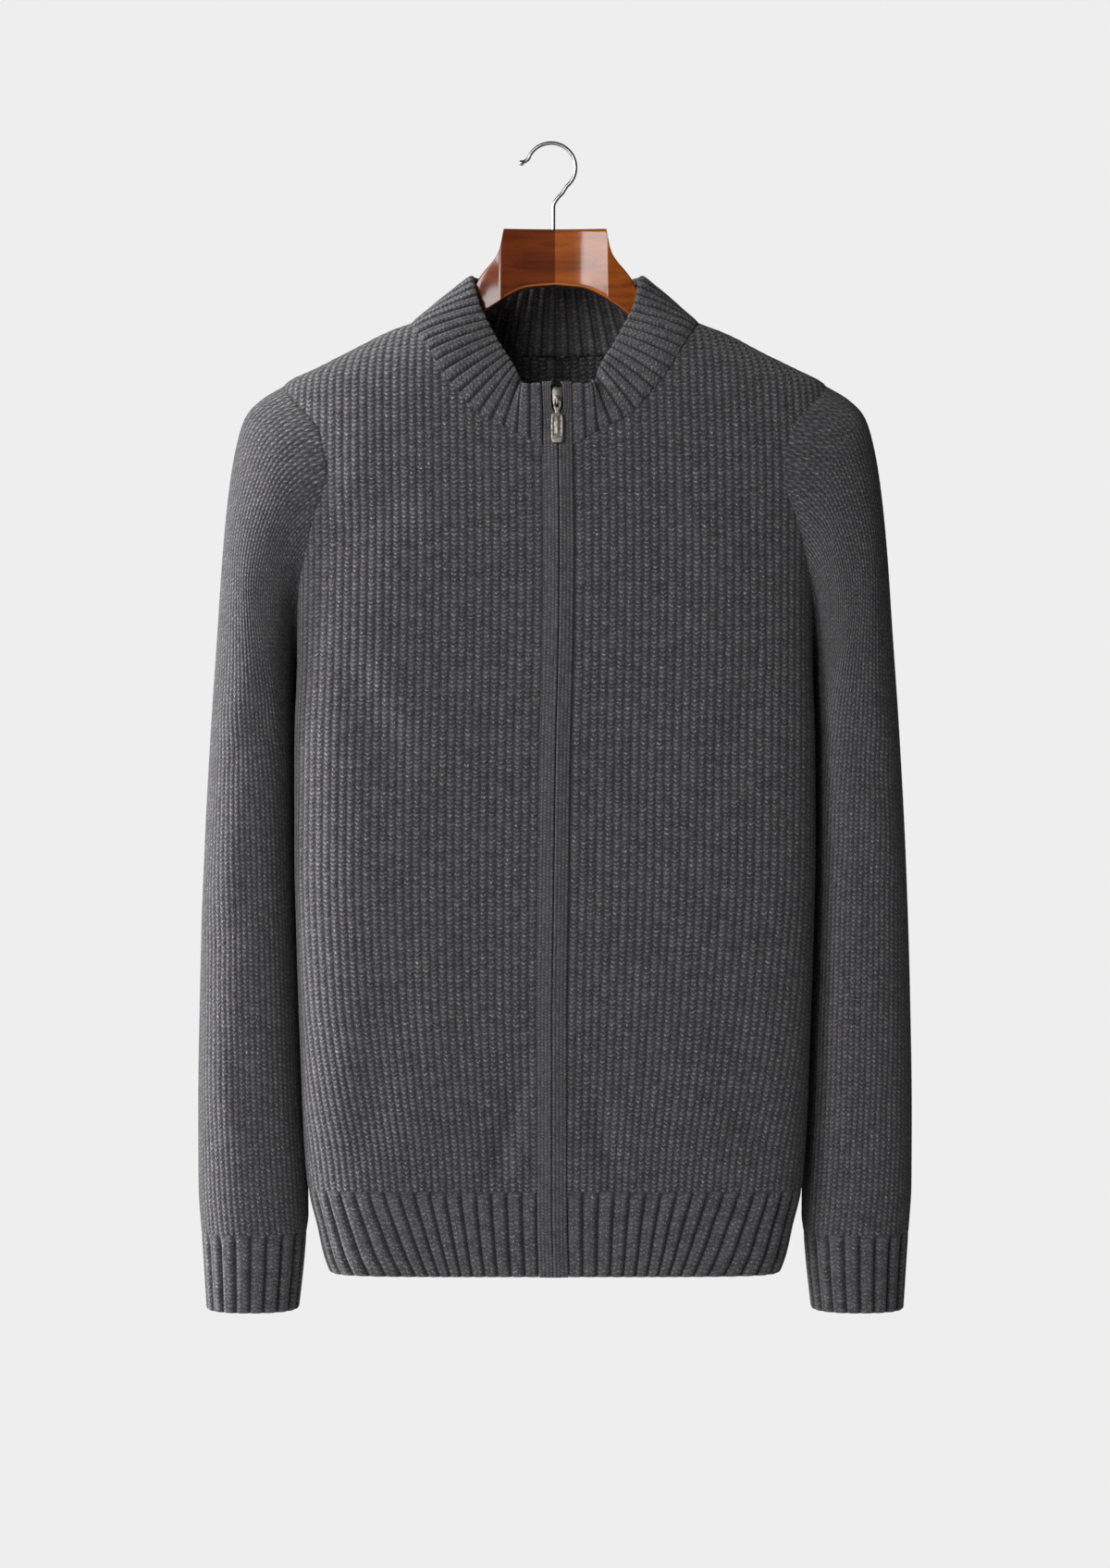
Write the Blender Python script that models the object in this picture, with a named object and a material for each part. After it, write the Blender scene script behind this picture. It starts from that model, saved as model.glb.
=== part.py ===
"""Zip-up cardigan in charcoal marl knit, hung on a lacquered wooden hanger with a steel wire hook.

Metres, +Z up. The front of the cardigan faces -Y and the wearer's left side is at +X. The origin is on the
inner crown of the hook, where a rail would carry it. Driving sizes are in millimetres and are scaled by MM.

The body is cut from one tube whose level sections are rounded boxes. A point of it is given by its angle round
the section (0 at the centre front, 90 degrees at a side seam, 180 at the centre back) and its height.
"""
import math

import bmesh
import bpy
import numpy as np
from mathutils import Matrix, Vector

MM = 0.001

# ------------------------------------------------------------------ driving sizes, in millimetres
CLOTH = 3.0                 # thickness of the knit
SEAM = 0.2                  # how far each piece stops short of a seam's line
RIB_BASE = 2.6              # ribbed cloth: wall under the ribs
RIB_RISE = 1.4              # ribbed cloth: height of a rib over its groove
RIB_PROFILE = (0.0, 1.0, 0.85)      # heights of the three columns of one rib: groove, crest, crest

HEM_SEAM = -763.0           # height where the body meets the hem rib
HEM_BOTTOM = -824.4
UNDERARM = -383.0
SHOULDER_TIP = -176.5
NECK_FRONT = -226.0         # height of the neck seam at the placket
NECK_BACK = -148.0
COLLAR_TOP_FRONT = -180.0
CUFF_SEAM = -797.5
CUFF_BOTTOM = -854.6

HEM_RIBS_FRONT = 20         # on each front
HEM_RIBS_BACK = 42
CUFF_RIBS = 20
COLLAR_RIBS = 60

FRONT_COLUMNS = 9           # divisions across half a body panel
CENTRE_FRONT_ROWS = 16      # rows up a front edge, and then along its neckline
FRONT_NECK_ROWS = 8
CENTRE_BACK_ROWS = 18
BACK_NECK_ROWS = 6
SIDE_ROWS = 13              # rows up a side seam, and then round half an armhole
ARMHOLE_ROWS = 11
SLEEVE_RINGS = 22
COLLAR_ROWS = 4
PLACKET_ROWS = 60           # close enough for the short opening round the slider

PLACKET_OUT = 10.4          # the placket's outer edge, from the zip's line
PANEL_EDGE = 10.8           # where the fronts, hem and collar begin, from the zip's line
PLACKET_PROUD = 1.0         # how far the placket stands in front of the cloth
PLACKET_THICK = 5.0
TAPE_IN, TAPE_OUT = 3.2, 13.0       # the zip tape's edges, from the zip's line
TAPE_DEPTH, TAPE_THICK = 5.4, 1.0   # behind the placket's face
CHAIN_HALF, CHAIN_THICK = 2.7, 2.2

SLIDER_HEIGHT = -190.0      # the slider's middle
PULL_PIVOT = -3.9           # the pull's hinge, up the placket from the slider's middle
PULL_LENGTH = 31.4

HOOK_WIRE = 2.8
HOOK_RADIUS = 18.0          # of the wire's centre line
STEM_X = -1.2
STEM_BORE = 1.75
STEM_DEPTH = 14.0


def smooth_through(xs, ys, at):
    """Smooth curve through the points (xs, ys), xs rising, that never swings past them."""
    at = np.clip(np.asarray(at, dtype=float), xs[0], xs[-1])
    step = np.diff(xs)
    slope = np.diff(ys) / step
    tangent = np.empty(len(xs))
    tangent[0], tangent[-1] = slope[0], slope[-1]
    before, after = slope[:-1], slope[1:]
    same_way = before * after > 0
    weight_1, weight_2 = 2 * step[1:] + step[:-1], step[1:] + 2 * step[:-1]
    safe_before, safe_after = np.where(same_way, before, 1.0), np.where(same_way, after, 1.0)
    mean = (weight_1 + weight_2) / (weight_1 / safe_before + weight_2 / safe_after)
    tangent[1:-1] = np.where(same_way, mean, 0.0)
    k = np.clip(np.searchsorted(xs, at, side="right") - 1, 0, len(step) - 1)
    t = (at - xs[k]) / step[k]
    return ((2 * t ** 3 - 3 * t ** 2 + 1) * ys[k] + (t ** 3 - 2 * t ** 2 + t) * step[k] * tangent[k]
            + (3 * t ** 2 - 2 * t ** 3) * ys[k + 1] + (t ** 3 - t ** 2) * step[k] * tangent[k + 1])


class Table:
    """Rows of named columns. The first column rises or falls, and the others are read smoothly against it."""

    def __init__(self, columns, *rows):
        self.names = columns.split()
        self.rows = np.array(sorted(rows), dtype=float)

    def read(self, name, at):
        return smooth_through(self.rows[:, 0], self.rows[:, self.names.index(name)], at)


# Level sections of the body: half width, depth before and behind the side seams, and how square the section is.
BODY = Table(
    "height half_width front back square",
    (-120, 84, 34, 41, 2.4),
    (-131.5, 106, 41, 50, 2.4),
    (-138.5, 124.3, 46, 56, 2.4),
    (-152, 150.3, 53, 63.5, 2.5),
    (-165.5, 177, 58.5, 69.5, 2.6),
    (-176.5, 198, 62.5, 72.5, 2.6),
    (-186, 203.5, 66, 74, 2.7),
    (-200, 204.5, 69.5, 75, 2.9),
    (-226, 202, 74, 77, 3.3),
    (-260, 195.5, 77.3, 78, 3.7),
    (-315, 190, 79.5, 78, 4.0),
    (-383, 188, 80, 78, 4.8),
    (-437, 189.5, 80, 78, 5.4),
    (-519, 189.7, 79, 77, 5.4),
    (-573, 188.4, 78.3, 76.4, 5.4),
    (-655, 185.6, 77, 75, 5.4),
    (-709, 183.6, 76, 74, 5.4),
    (-764, 179.6, 74.3, 72.4, 5.4),
    (-790, 173.5, 72.6, 70.6, 5.4),
    (-812, 168.6, 71, 69, 5.4),
    (-826, 163.5, 69.5, 67.5, 5.4),
)

# The zip's line from the hem to the collar: it wanders a little to each side of the middle.
ZIP_LINE = Table(
    "height across",
    (-826, -0.8),
    (-780, -2.0),
    (-640, -2.0),
    (-560, -1.0),
    (-440, 0.7),
    (-360, 2.6),
    (-300, 3.2),
    (-226, 2.4),
    (-178, 1.4),
)

# Face of the placket above the neck seam, where it leans back with the collar.
COLLAR_FRONT = Table(
    "height depth",
    (-226, 74),
    (-205, 70.6),
    (-178, 66),
)

# Half the space between the two plackets: closed below the slider, opened by it, and closing again above.
PLACKET_GAP = Table(
    "height half_gap",
    (-826, 0.75),
    (-209, 0.75),
    (-203, 1.6),
    (-198, 4.1),
    (-182.5, 4.1),
    (-180, 2.6),
    (-178, 2.0),
)

# Neckline on the front and the back, from the placket or the centre back out to the shoulder seam.
FRONT_NECKLINE = Table(
    "across height",
    (35, -213.5),
    (54, -203),
    (68, -188.5),
    (82, -170.5),
    (93, -151.5),
    (101, -139),
    (106, -131.5),
)
BACK_NECKLINE = Table(
    "across height",
    (0, NECK_BACK),
    (30, -147.5),
    (60, -145),
    (80, -141.5),
    (95.5, -137),
    (106, -131.5),
)

# Half armhole from the shoulder tip to the underarm: how far it swings forward and back of the side seam.
ARMHOLE = Table(
    "height front back",
    (SHOULDER_TIP, 0, 0),
    (-179.5, 17, 19),
    (-190, 35, 38),
    (-215, 55, 57),
    (-250, 62, 63),
    (-290, 55, 57),
    (-330, 41, 43),
    (-355, 27, 28),
    (-374, 12, 12),
    (UNDERARM, 0, 0),
)

# Sleeve rings from the armhole (0) to the cuff seam (100): outer point, inner point and half depth of each.
SLEEVE = Table(
    "along outer_x outer_z inner_x inner_z half_depth",
    (0, 198, -176.5, 188.4, -383, 62),
    (6, 214.5, -186.5, 189.6, -384.5, 62),
    (12, 226.5, -199.5, 190.2, -386, 62),
    (18, 234.5, -226, 190.6, -388, 62),
    (25, 240, -262, 190.9, -392, 61),
    (32, 243.8, -302, 191.1, -400, 60),
    (40, 247.5, -357, 191.3, -424, 58),
    (50, 252.5, -430, 191.4, -470, 55),
    (62, 257.3, -520, 191.4, -540, 51),
    (75, 260.6, -620, 189.2, -630, 47),
    (87, 262, -710, 185.8, -715, 44),
    (94, 261.8, -762, 182.8, -763, 42),
    (100, 259.6, CUFF_SEAM, 182.6, CUFF_SEAM, 41),
)
SLEEVE_SQUARE = 2.3         # how square a sleeve's section is
CAP_EASE = 30               # how far along the sleeve the armhole's own shape fades out

CUFF = Table(
    "height outer_x inner_x half_depth",
    (CUFF_BOTTOM, 255.7, 188.4, 36),
    (-820, 257.9, 184.6, 39),
    (CUFF_SEAM, 259.4, 182.8, 41),
)

# Upper edge of the collar on one side, from the corner beside the zip round to the centre back.
COLLAR_EDGE = (
    # across, depth (front is negative), height
    (24.0, -65.6, -180.3),
    (26.5, -62.0, -175.5),
    (30.5, -56.5, -167.0),
    (34.5, -51.0, -159.5),
    (42.0, -42.0, -147.0),
    (50.0, -32.5, -131.5),
    (54.5, -26.5, -122.0),
    (58.3, -20.0, -111.0),
    (61.0, -12.0, -101.5),
    (62.3, -2.0, -96.0),
    (62.0, 12.0, -94.3),
    (58.0, 26.0, -94.3),
    (48.0, 38.0, -94.7),
    (30.0, 49.0, -95.2),
    (0.0, 54.0, -95.6),
)
COLLAR_SHIFT = 1.3          # the whole edge sits a little towards the wearer's left
COLLAR_BULGE = 2.0          # how far the collar's side swells out between its seam and its edge

# Half a hanger, from its middle to its end: underside, top, the front and back faces and the corners' radius.
HANGER = Table(
    "across top bottom front back corner",
    (0, -62.5, -103.5, -7, 8, 2.5),
    (20, -62.5, -105.5, -9.5, 6, 2.5),
    (37.5, -62.5, -113.5, -12, 3, 3),
    (39, -70, -114.5, -12, 3, 3),
    (41, -78.5, -116, -12, 3, 3.5),
    (45.7, -86.5, -119, -11.3, 3.2, 4.5),
    (51, -92.4, -123, -11, 3.5, 5),
    (56, -98.8, -127, -10.7, 3.8, 5.5),
    (59, -103.8, -130, -10.6, 4, 6),
    (70, -115, -140, -12, 5, 7),
    (85, -127.5, -152, -14, 6, 8),
    (102, -139, -164, -14.5, 8, 9),
    (140, -158, -184, -15, 11, 10),
    (172, -175.5, -203, -15.5, 13, 11),
    (186, -186, -212, -14, 12, 11),
    (192, -194, -208, -9, 8, 6.5),
)
HANGER_STATIONS = (0, 7, 20, 34, 37.5, 39, 41, 45.7, 51, 56, 59, 64.5, 70, 77, 85, 102, 121, 140, 156, 172, 182,
                   188, 192)


# ------------------------------------------------------------------ materials

def finish(name, colour, roughness, metallic=0.0):
    """A Principled material with the part's plain colour."""
    material = bpy.data.materials.new(name)
    material.use_nodes = True
    shader = material.node_tree.nodes["Principled BSDF"]
    shader.inputs["Base Color"].default_value = (*colour, 1.0)
    shader.inputs["Roughness"].default_value = roughness
    shader.inputs["Metallic"].default_value = metallic
    return material


# ------------------------------------------------------------------ meshes

def mesh_object(name, points, faces, material):
    """One closed mesh object from points in millimetres, its faces turned outwards."""
    mesh = bpy.data.meshes.new(name)
    mesh.from_pydata([tuple(float(value) * MM for value in point) for point in points], [], faces)
    solid = bmesh.new()
    solid.from_mesh(mesh)
    bmesh.ops.recalc_face_normals(solid, faces=solid.faces)
    solid.to_mesh(mesh)
    solid.free()
    mesh.shade_smooth()
    mesh.set_sharp_from_angle(angle=math.radians(40))
    mesh.materials.append(material)
    piece = bpy.data.objects.new(name, mesh)
    bpy.context.scene.collection.objects.link(piece)
    return piece


def shell(name, outer, inner, material, around=False):
    """Closed wall between a grid of outer points and a plainer grid of inner ones.

    Both have the same rows. The outer grid has a whole number of columns for each column of the inner one.
    around joins the last column to the first, as on a sleeve.
    """
    rows, columns = outer.shape[:2]
    inner_columns = inner.shape[1]
    spans = inner_columns if around else inner_columns - 1
    step = columns // inner_columns if around else (columns - 1) // (inner_columns - 1)
    points = [*outer.reshape(-1, 3), *inner.reshape(-1, 3)]

    def out(row, column):
        return row * columns + column % columns

    def into(row, column):
        return rows * columns + row * inner_columns + column % inner_columns

    faces = []
    for row in range(rows - 1):
        for column in range(spans * step):
            faces.append((out(row, column), out(row, column + 1), out(row + 1, column + 1), out(row + 1, column)))
        for column in range(spans):
            faces.append((into(row, column), into(row + 1, column), into(row + 1, column + 1),
                          into(row, column + 1)))
    for row in (0, rows - 1):
        for column in range(spans):
            crest = [out(row, column * step + k) for k in range(step + 1)]
            faces.append((*crest, into(row, column + 1), into(row, column)))
    if not around:
        for column, inner_column in ((0, 0), (columns - 1, inner_columns - 1)):
            for row in range(rows - 1):
                faces.append((out(row, column), out(row + 1, column), into(row + 1, inner_column),
                              into(row, inner_column)))
    return mesh_object(name, points, faces, material)


def unit(vectors):
    return vectors / np.linalg.norm(vectors, axis=-1, keepdims=True)


def grid_normals(grid, around=False):
    """Outward normals of a grid of points whose rows go up and whose columns go round towards the left side."""
    if around:
        across = np.roll(grid, -1, axis=1) - np.roll(grid, 1, axis=1)
    else:
        across = np.gradient(grid, axis=1)
    return unit(np.cross(across, np.gradient(grid, axis=0)))


def lengths_along(points):
    """Distance of each point from the first, along the line through them."""
    return np.concatenate([[0.0], np.cumsum(np.linalg.norm(np.diff(points, axis=0), axis=1))])


def spread(values, lengths, fractions):
    """Rows of values read at fractions of the whole length of their line."""
    at = np.asarray(fractions) * lengths[-1]
    return np.stack([np.interp(at, lengths, values[:, k]) for k in range(values.shape[1])], axis=1)


# ------------------------------------------------------------------ the body's tube

def body_point(angle, height):
    """Outer face of the body at an angle round its section, in radians, and a height."""
    angle, height = np.broadcast_arrays(np.asarray(angle, float), np.asarray(height, float))
    square = BODY.read("square", height)
    depth = np.where(np.cos(angle) > 0, BODY.read("front", height), BODY.read("back", height))
    sine, cosine = np.sin(angle), np.cos(angle)
    reach = (np.abs(sine) ** square + np.abs(cosine) ** square) ** (-1 / square)
    across = BODY.read("half_width", height) * reach * sine
    return np.stack([across, -depth * reach * cosine, height], axis=-1)


def body_normal(angle, height):
    """Outward normal of the body's tube."""
    turn, rise = 0.004, 0.4
    around = body_point(angle + turn, height) - body_point(angle - turn, height)
    upward = body_point(angle, height + rise) - body_point(angle, height - rise)
    return unit(np.cross(around, upward))


def angle_across(across, height, back=False):
    """Angle of the body's point that lies that far to a side of the middle."""
    square = BODY.read("square", height)
    sine = np.clip(across / BODY.read("half_width", height), 0, 1)
    cosine = np.maximum(1 - sine ** square, 0) ** (1 / square)
    return np.arctan2(sine, -cosine if back else cosine)


def angle_deep(depth, height, back=False):
    """Angle of the body's point that lies that far before or behind the side seam."""
    square = BODY.read("square", height)
    cosine = np.clip(depth / BODY.read("back" if back else "front", height), 0, 1)
    sine = np.maximum(1 - cosine ** square, 0) ** (1 / square)
    return np.arctan2(sine, -cosine if back else cosine)


def zip_across(height, side):
    """The zip's line at a height, seen from one side: positive is away from the middle."""
    return side * ZIP_LINE.read("across", height)


# ------------------------------------------------------------------ outlines of the body panels

def neckline(side, back=False):
    """Dense (angle, height) points of half a neckline, from the placket or centre back to the shoulder seam."""
    if back:
        table, start = BACK_NECKLINE, None
    else:
        table, start = FRONT_NECKLINE, zip_across(NECK_FRONT, side) + PANEL_EDGE
    known = table.rows
    if start is not None:
        known = np.vstack([[start, NECK_FRONT], known])
    across = known[-1, 0] - (known[-1, 0] - known[0, 0]) * np.linspace(1, 0, 240) ** 1.6
    height = smooth_through(known[:, 0], known[:, 1], across)
    angle = angle_across(across, height, back)
    angle[-1] = math.pi / 2
    if back:
        angle[0] = math.pi
    return np.stack([angle, height], axis=1)


def evenly_on_body(line, count):
    """count + 1 points of an (angle, height) line at even distances over the body."""
    lengths = lengths_along(body_point(line[:, 0], line[:, 1]))
    return spread(line, lengths, np.linspace(0, 1, count + 1))


def armhole_half(back=False):
    """(angle, height) points of half an armhole, from the underarm up to the shoulder tip."""
    turn = np.linspace(0, 1, 240)
    height = UNDERARM + (SHOULDER_TIP - UNDERARM) * (1 - np.cos(math.pi * turn)) / 2
    depth = ARMHOLE.read("back" if back else "front", height)
    line = np.stack([angle_deep(depth, height, back), height], axis=1)
    line[[0, -1], 0] = math.pi / 2
    return evenly_on_body(line, ARMHOLE_ROWS)


def side_outline(back=False):
    """(angle, height) rows of a panel's outer edge: up the side seam, then round the armhole."""
    seam = np.stack([np.full(SIDE_ROWS, math.pi / 2), np.linspace(HEM_SEAM, UNDERARM, SIDE_ROWS + 1)[:-1]], axis=1)
    return np.vstack([seam, armhole_half(back)])


def middle_outline(side, back=False):
    """(angle, height) rows of a panel's inner edge: up the placket or centre back, then along the neckline."""
    neck_rows, middle_rows = (BACK_NECK_ROWS, CENTRE_BACK_ROWS) if back else (FRONT_NECK_ROWS, CENTRE_FRONT_ROWS)
    neck = evenly_on_body(neckline(side, back), neck_rows)
    height = np.linspace(HEM_SEAM, neck[0, 1], middle_rows + 1)[:-1]
    if back:
        angle = np.full(middle_rows, math.pi)
    else:
        angle = angle_across(zip_across(height, side) + PANEL_EDGE, height)
    return np.vstack([np.stack([angle, height], axis=1), neck])


def panel_grid(side, back=False):
    """(angle, height) grid of half a body panel, its rows from the hem seam to the shoulder seam.

    Every edge that meets another piece stops short of the seam's line by SEAM.
    """
    inner, outer = middle_outline(side, back), side_outline(back)
    share = np.linspace(0, 1, FRONT_COLUMNS + 1)[None, :, None]
    grid = inner[:, None, :] * (1 - share) + outer[:, None, :] * share
    middle_rows = CENTRE_BACK_ROWS if back else CENTRE_FRONT_ROWS
    depth = BODY.read("back" if back else "front", grid[:, -1, 1])
    inward = 1 if back else -1
    grid[:, -1, 0] += inward * SEAM / depth
    grid[-1, :, 0] += inward * SEAM / BODY.read("back" if back else "front", grid[-1, :, 1])
    grid[0, :, 1] += SEAM
    grid[middle_rows:, 0, 1] -= SEAM
    armhole_centre = (UNDERARM + SHOULDER_TIP) / 2
    grid[SIDE_ROWS:, -1, 1] += SEAM * np.sign(grid[SIDE_ROWS:, -1, 1] - armhole_centre)
    return grid


def neck_edge(side):
    """Points and normals along the panels' neck edge, from the placket round to the centre back."""
    front, back = panel_grid(side)[CENTRE_FRONT_ROWS:, 0], panel_grid(side, back=True)[CENTRE_BACK_ROWS:, 0]
    line = np.vstack([front, back[::-1]])
    points, normals = body_point(line[:, 0], line[:, 1]), body_normal(line[:, 0], line[:, 1])
    points[:, 0] *= side
    normals[:, 0] *= side
    return points, normals


# ------------------------------------------------------------------ knitted pieces

def make_front(name, side, material):
    grid = panel_grid(side)
    outer = body_point(grid[..., 0], grid[..., 1])
    inner = outer - CLOTH * body_normal(grid[..., 0], grid[..., 1])
    for points in (outer, inner):
        points[..., 0] *= side
    return shell(name, outer, inner, material)


def make_back(material):
    """Both halves of the back in one grid, joined down the centre back and open at the neck."""
    halves = []
    for side in (1, -1):
        grid = panel_grid(side, back=True)
        outer = body_point(grid[..., 0], grid[..., 1])
        inner = outer - CLOTH * body_normal(grid[..., 0], grid[..., 1])
        for points in (outer, inner):
            points[..., 0] *= side
        halves.append((outer, inner))
    points, faces, index = [], [], {}

    def number(point):
        key = tuple(np.round(point, 4) + 0.0)
        if key not in index:
            index[key] = len(points)
            points.append(point)
        return index[key]

    def add(*corners):
        faces.append([number(corner) for corner in corners])

    for outer, inner in halves:
        rows, columns = outer.shape[:2]
        for row in range(rows - 1):
            for column in range(columns - 1):
                for grid in (outer, inner):
                    add(grid[row, column], grid[row, column + 1], grid[row + 1, column + 1], grid[row + 1, column])
            if row >= CENTRE_BACK_ROWS:
                add(outer[row, 0], outer[row + 1, 0], inner[row + 1, 0], inner[row, 0])
            add(outer[row, -1], outer[row + 1, -1], inner[row + 1, -1], inner[row, -1])
        for row in (0, rows - 1):
            for column in range(columns - 1):
                add(outer[row, column], outer[row, column + 1], inner[row, column + 1], inner[row, column])
    return mesh_object("back", points, faces, material)


def sleeve_armhole():
    """The armhole's own points as a sleeve ring, from the shoulder tip by the front to the underarm and back up."""
    front, back = armhole_half()[::-1], armhole_half(back=True)
    line = np.vstack([front[:-1], back[:-1]])
    points, normals = body_point(line[:, 0], line[:, 1]), body_normal(line[:, 0], line[:, 1])
    centre = np.array([0.0, 0.0, (UNDERARM + SHOULDER_TIP) / 2])
    towards = (points - centre) * (0, 1, 1)
    return points - SEAM * unit(towards), normals


def sleeve_rings():
    """Outer and inner points of the left sleeve, a row for each ring from the armhole to the cuff seam."""
    around = 2 * ARMHOLE_ROWS
    turn = 2 * math.pi * np.arange(around) / around
    along = np.linspace(0, 100, SLEEVE_RINGS + 1)
    read = {name: SLEEVE.read(name, along)[:, None] for name in SLEEVE.names[1:]}
    reach = (np.abs(np.cos(turn)) ** SLEEVE_SQUARE + np.abs(np.sin(turn)) ** SLEEVE_SQUARE) ** (-1 / SLEEVE_SQUARE)
    outward, forward = reach * np.cos(turn), reach * np.sin(turn)
    across = (read["outer_x"] + read["inner_x"]) / 2 + (read["outer_x"] - read["inner_x"]) / 2 * outward
    height = (read["outer_z"] + read["inner_z"]) / 2 + (read["outer_z"] - read["inner_z"]) / 2 * outward
    rings = np.stack([across, -read["half_depth"] * forward, height], axis=-1)
    cap, cap_normals = sleeve_armhole()
    fade = np.clip(1 - along / CAP_EASE, 0, 1)
    fade = (fade ** 2 * (3 - 2 * fade))[:, None, None]
    rings = rings + fade * (cap - rings[0])[None]
    rings[-1, :, 2] += SEAM
    normals = grid_normals(rings, around=True)
    share = ((1 + np.cos(turn)) / 2)[:, None]
    normals[0] = unit(share * cap_normals + (1 - share) * normals[0])
    normals[-1, :, 2] = 0
    return rings, rings - CLOTH * unit(normals)


def make_sleeve(name, side, material):
    rings, lining = sleeve_rings()
    for points in (rings, lining):
        points[..., 0] *= side
    return shell(name, rings, lining, material, around=True)


def make_cuff(name, side, material):
    """Ribbed cuff: an oval tube, wider at the sleeve than at the wrist."""
    columns = CUFF_RIBS * len(RIB_PROFILE)
    turn = 2 * math.pi * np.arange(columns) / columns
    height = np.array([CUFF_BOTTOM, (CUFF_BOTTOM + CUFF_SEAM) / 2, CUFF_SEAM - SEAM])
    read = {name: CUFF.read(name, height)[:, None] for name in CUFF.names[1:]}
    middle, half_width = (read["outer_x"] + read["inner_x"]) / 2, (read["outer_x"] - read["inner_x"]) / 2
    rise = np.tile(RIB_PROFILE, CUFF_RIBS) * RIB_RISE

    def ring(inset, angles):
        reach = (np.abs(np.cos(angles)) ** SLEEVE_SQUARE
                 + np.abs(np.sin(angles)) ** SLEEVE_SQUARE) ** (-1 / SLEEVE_SQUARE)
        across = middle + (half_width - inset) * reach * np.cos(angles)
        depth = -(read["half_depth"] - inset) * reach * np.sin(angles)
        return np.stack([across * side, depth, np.broadcast_to(height[:, None], across.shape)], axis=-1)

    outer = ring(RIB_RISE - rise, turn)
    inner = ring(RIB_RISE + RIB_BASE, turn[::len(RIB_PROFILE)])
    return shell(name, outer, inner, material, around=True)


def make_hem(name, start, end, ribs, material, edge_side=0):
    """Ribbed hem between two angles of the body's tube. With edge_side, it starts beside the placket."""
    columns = ribs * len(RIB_PROFILE)
    height = np.array([HEM_BOTTOM, (HEM_BOTTOM + HEM_SEAM) / 2, HEM_SEAM - SEAM])
    share = np.linspace(0, 1, columns + 1)
    rise = np.append(np.tile(RIB_PROFILE, ribs), RIB_PROFILE[0]) * RIB_RISE
    outer, inner = [], []
    for level in height:
        first = start
        if edge_side:
            first = angle_across(zip_across(level, edge_side) + PANEL_EDGE, level)
        dense = np.linspace(first, end, 400)
        lengths = lengths_along(body_point(dense, level))
        angle = spread(dense[:, None], lengths, share)[:, 0]
        face, normal = body_point(angle, level), body_normal(angle, level)
        normal[:, 2] = 0
        normal = unit(normal)
        outer.append(face - normal * (RIB_RISE - rise)[:, None])
        inner.append((face - normal * (RIB_RISE + RIB_BASE))[::len(RIB_PROFILE)])
    outer, inner = np.array(outer), np.array(inner)
    if edge_side:
        inner[:, 0, 0] = outer[:, 0, 0]
        outer[..., 0] *= edge_side
        inner[..., 0] *= edge_side
    return shell(name, outer, inner, material)


def collar_edge_line(side):
    """Dense points of one side of the collar's upper edge, from the placket to the centre back."""
    known = np.array(COLLAR_EDGE)
    known[:, 0] = side * known[:, 0] + COLLAR_SHIFT * np.minimum(known[:, 0] / 20, 1)
    start = side * (zip_across(COLLAR_TOP_FRONT, side) + PANEL_EDGE)
    known = np.vstack([[start, -COLLAR_FRONT.read("depth", COLLAR_TOP_FRONT), COLLAR_TOP_FRONT], known])
    lengths = lengths_along(known)
    dense = np.linspace(0, lengths[-1], 400)
    return np.stack([smooth_through(lengths, known[:, k], dense) for k in range(3)], axis=1)


def make_collar(material):
    """Ribbed stand collar, from the placket on the left round the back to the placket on the right."""
    columns = COLLAR_RIBS * len(RIB_PROFILE)
    half = columns // 2
    share = np.linspace(0, 1, half + 1)
    seam, seam_normal, edge = [], [], []
    for side in (1, -1):
        points, normals = neck_edge(side)
        lengths = lengths_along(points)
        top = collar_edge_line(side)
        parts = (spread(points, lengths, share), spread(normals, lengths, share),
                 spread(top, lengths_along(top), share))
        order = slice(None) if side == 1 else slice(None, None, -1)
        for whole, part in zip((seam, seam_normal, edge), parts):
            whole.append(part[order] if side == 1 else part[order][1:])
    seam, seam_normal, edge = np.vstack(seam), unit(np.vstack(seam_normal)), np.vstack(edge)
    seam = seam + 2.2 * SEAM * unit(edge - seam)
    level = np.linspace(0, 1, COLLAR_ROWS + 1)[:, None, None]
    face = seam * (1 - level) + edge * level
    normals = grid_normals(face)
    bulge = COLLAR_BULGE * 4 * level * (1 - level)
    face = face + bulge * normals
    normals = grid_normals(face)
    normals[0] = unit(0.7 * seam_normal + 0.3 * normals[0])
    rise = (np.append(np.tile(RIB_PROFILE, COLLAR_RIBS), RIB_PROFILE[0]) * RIB_RISE)[None, :, None]
    outer = face - normals * (RIB_RISE - rise)
    inner = (face - normals * (RIB_RISE + RIB_BASE))[:, ::len(RIB_PROFILE)]
    for row in range(COLLAR_ROWS + 1):
        for points in (outer, inner):
            for column, side in ((0, 1), (-1, -1)):
                points[row, column, 0] = side * (zip_across(points[row, column, 2], side) + PANEL_EDGE)
    return shell("collar", outer, inner, material)


# ------------------------------------------------------------------ placket and zip

def front_face(height):
    """How far the placket's face is in front of the middle plane."""
    below = BODY.read("front", height)
    above = COLLAR_FRONT.read("depth", height)
    return np.where(np.asarray(height) < NECK_FRONT, below, above) + PLACKET_PROUD


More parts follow.
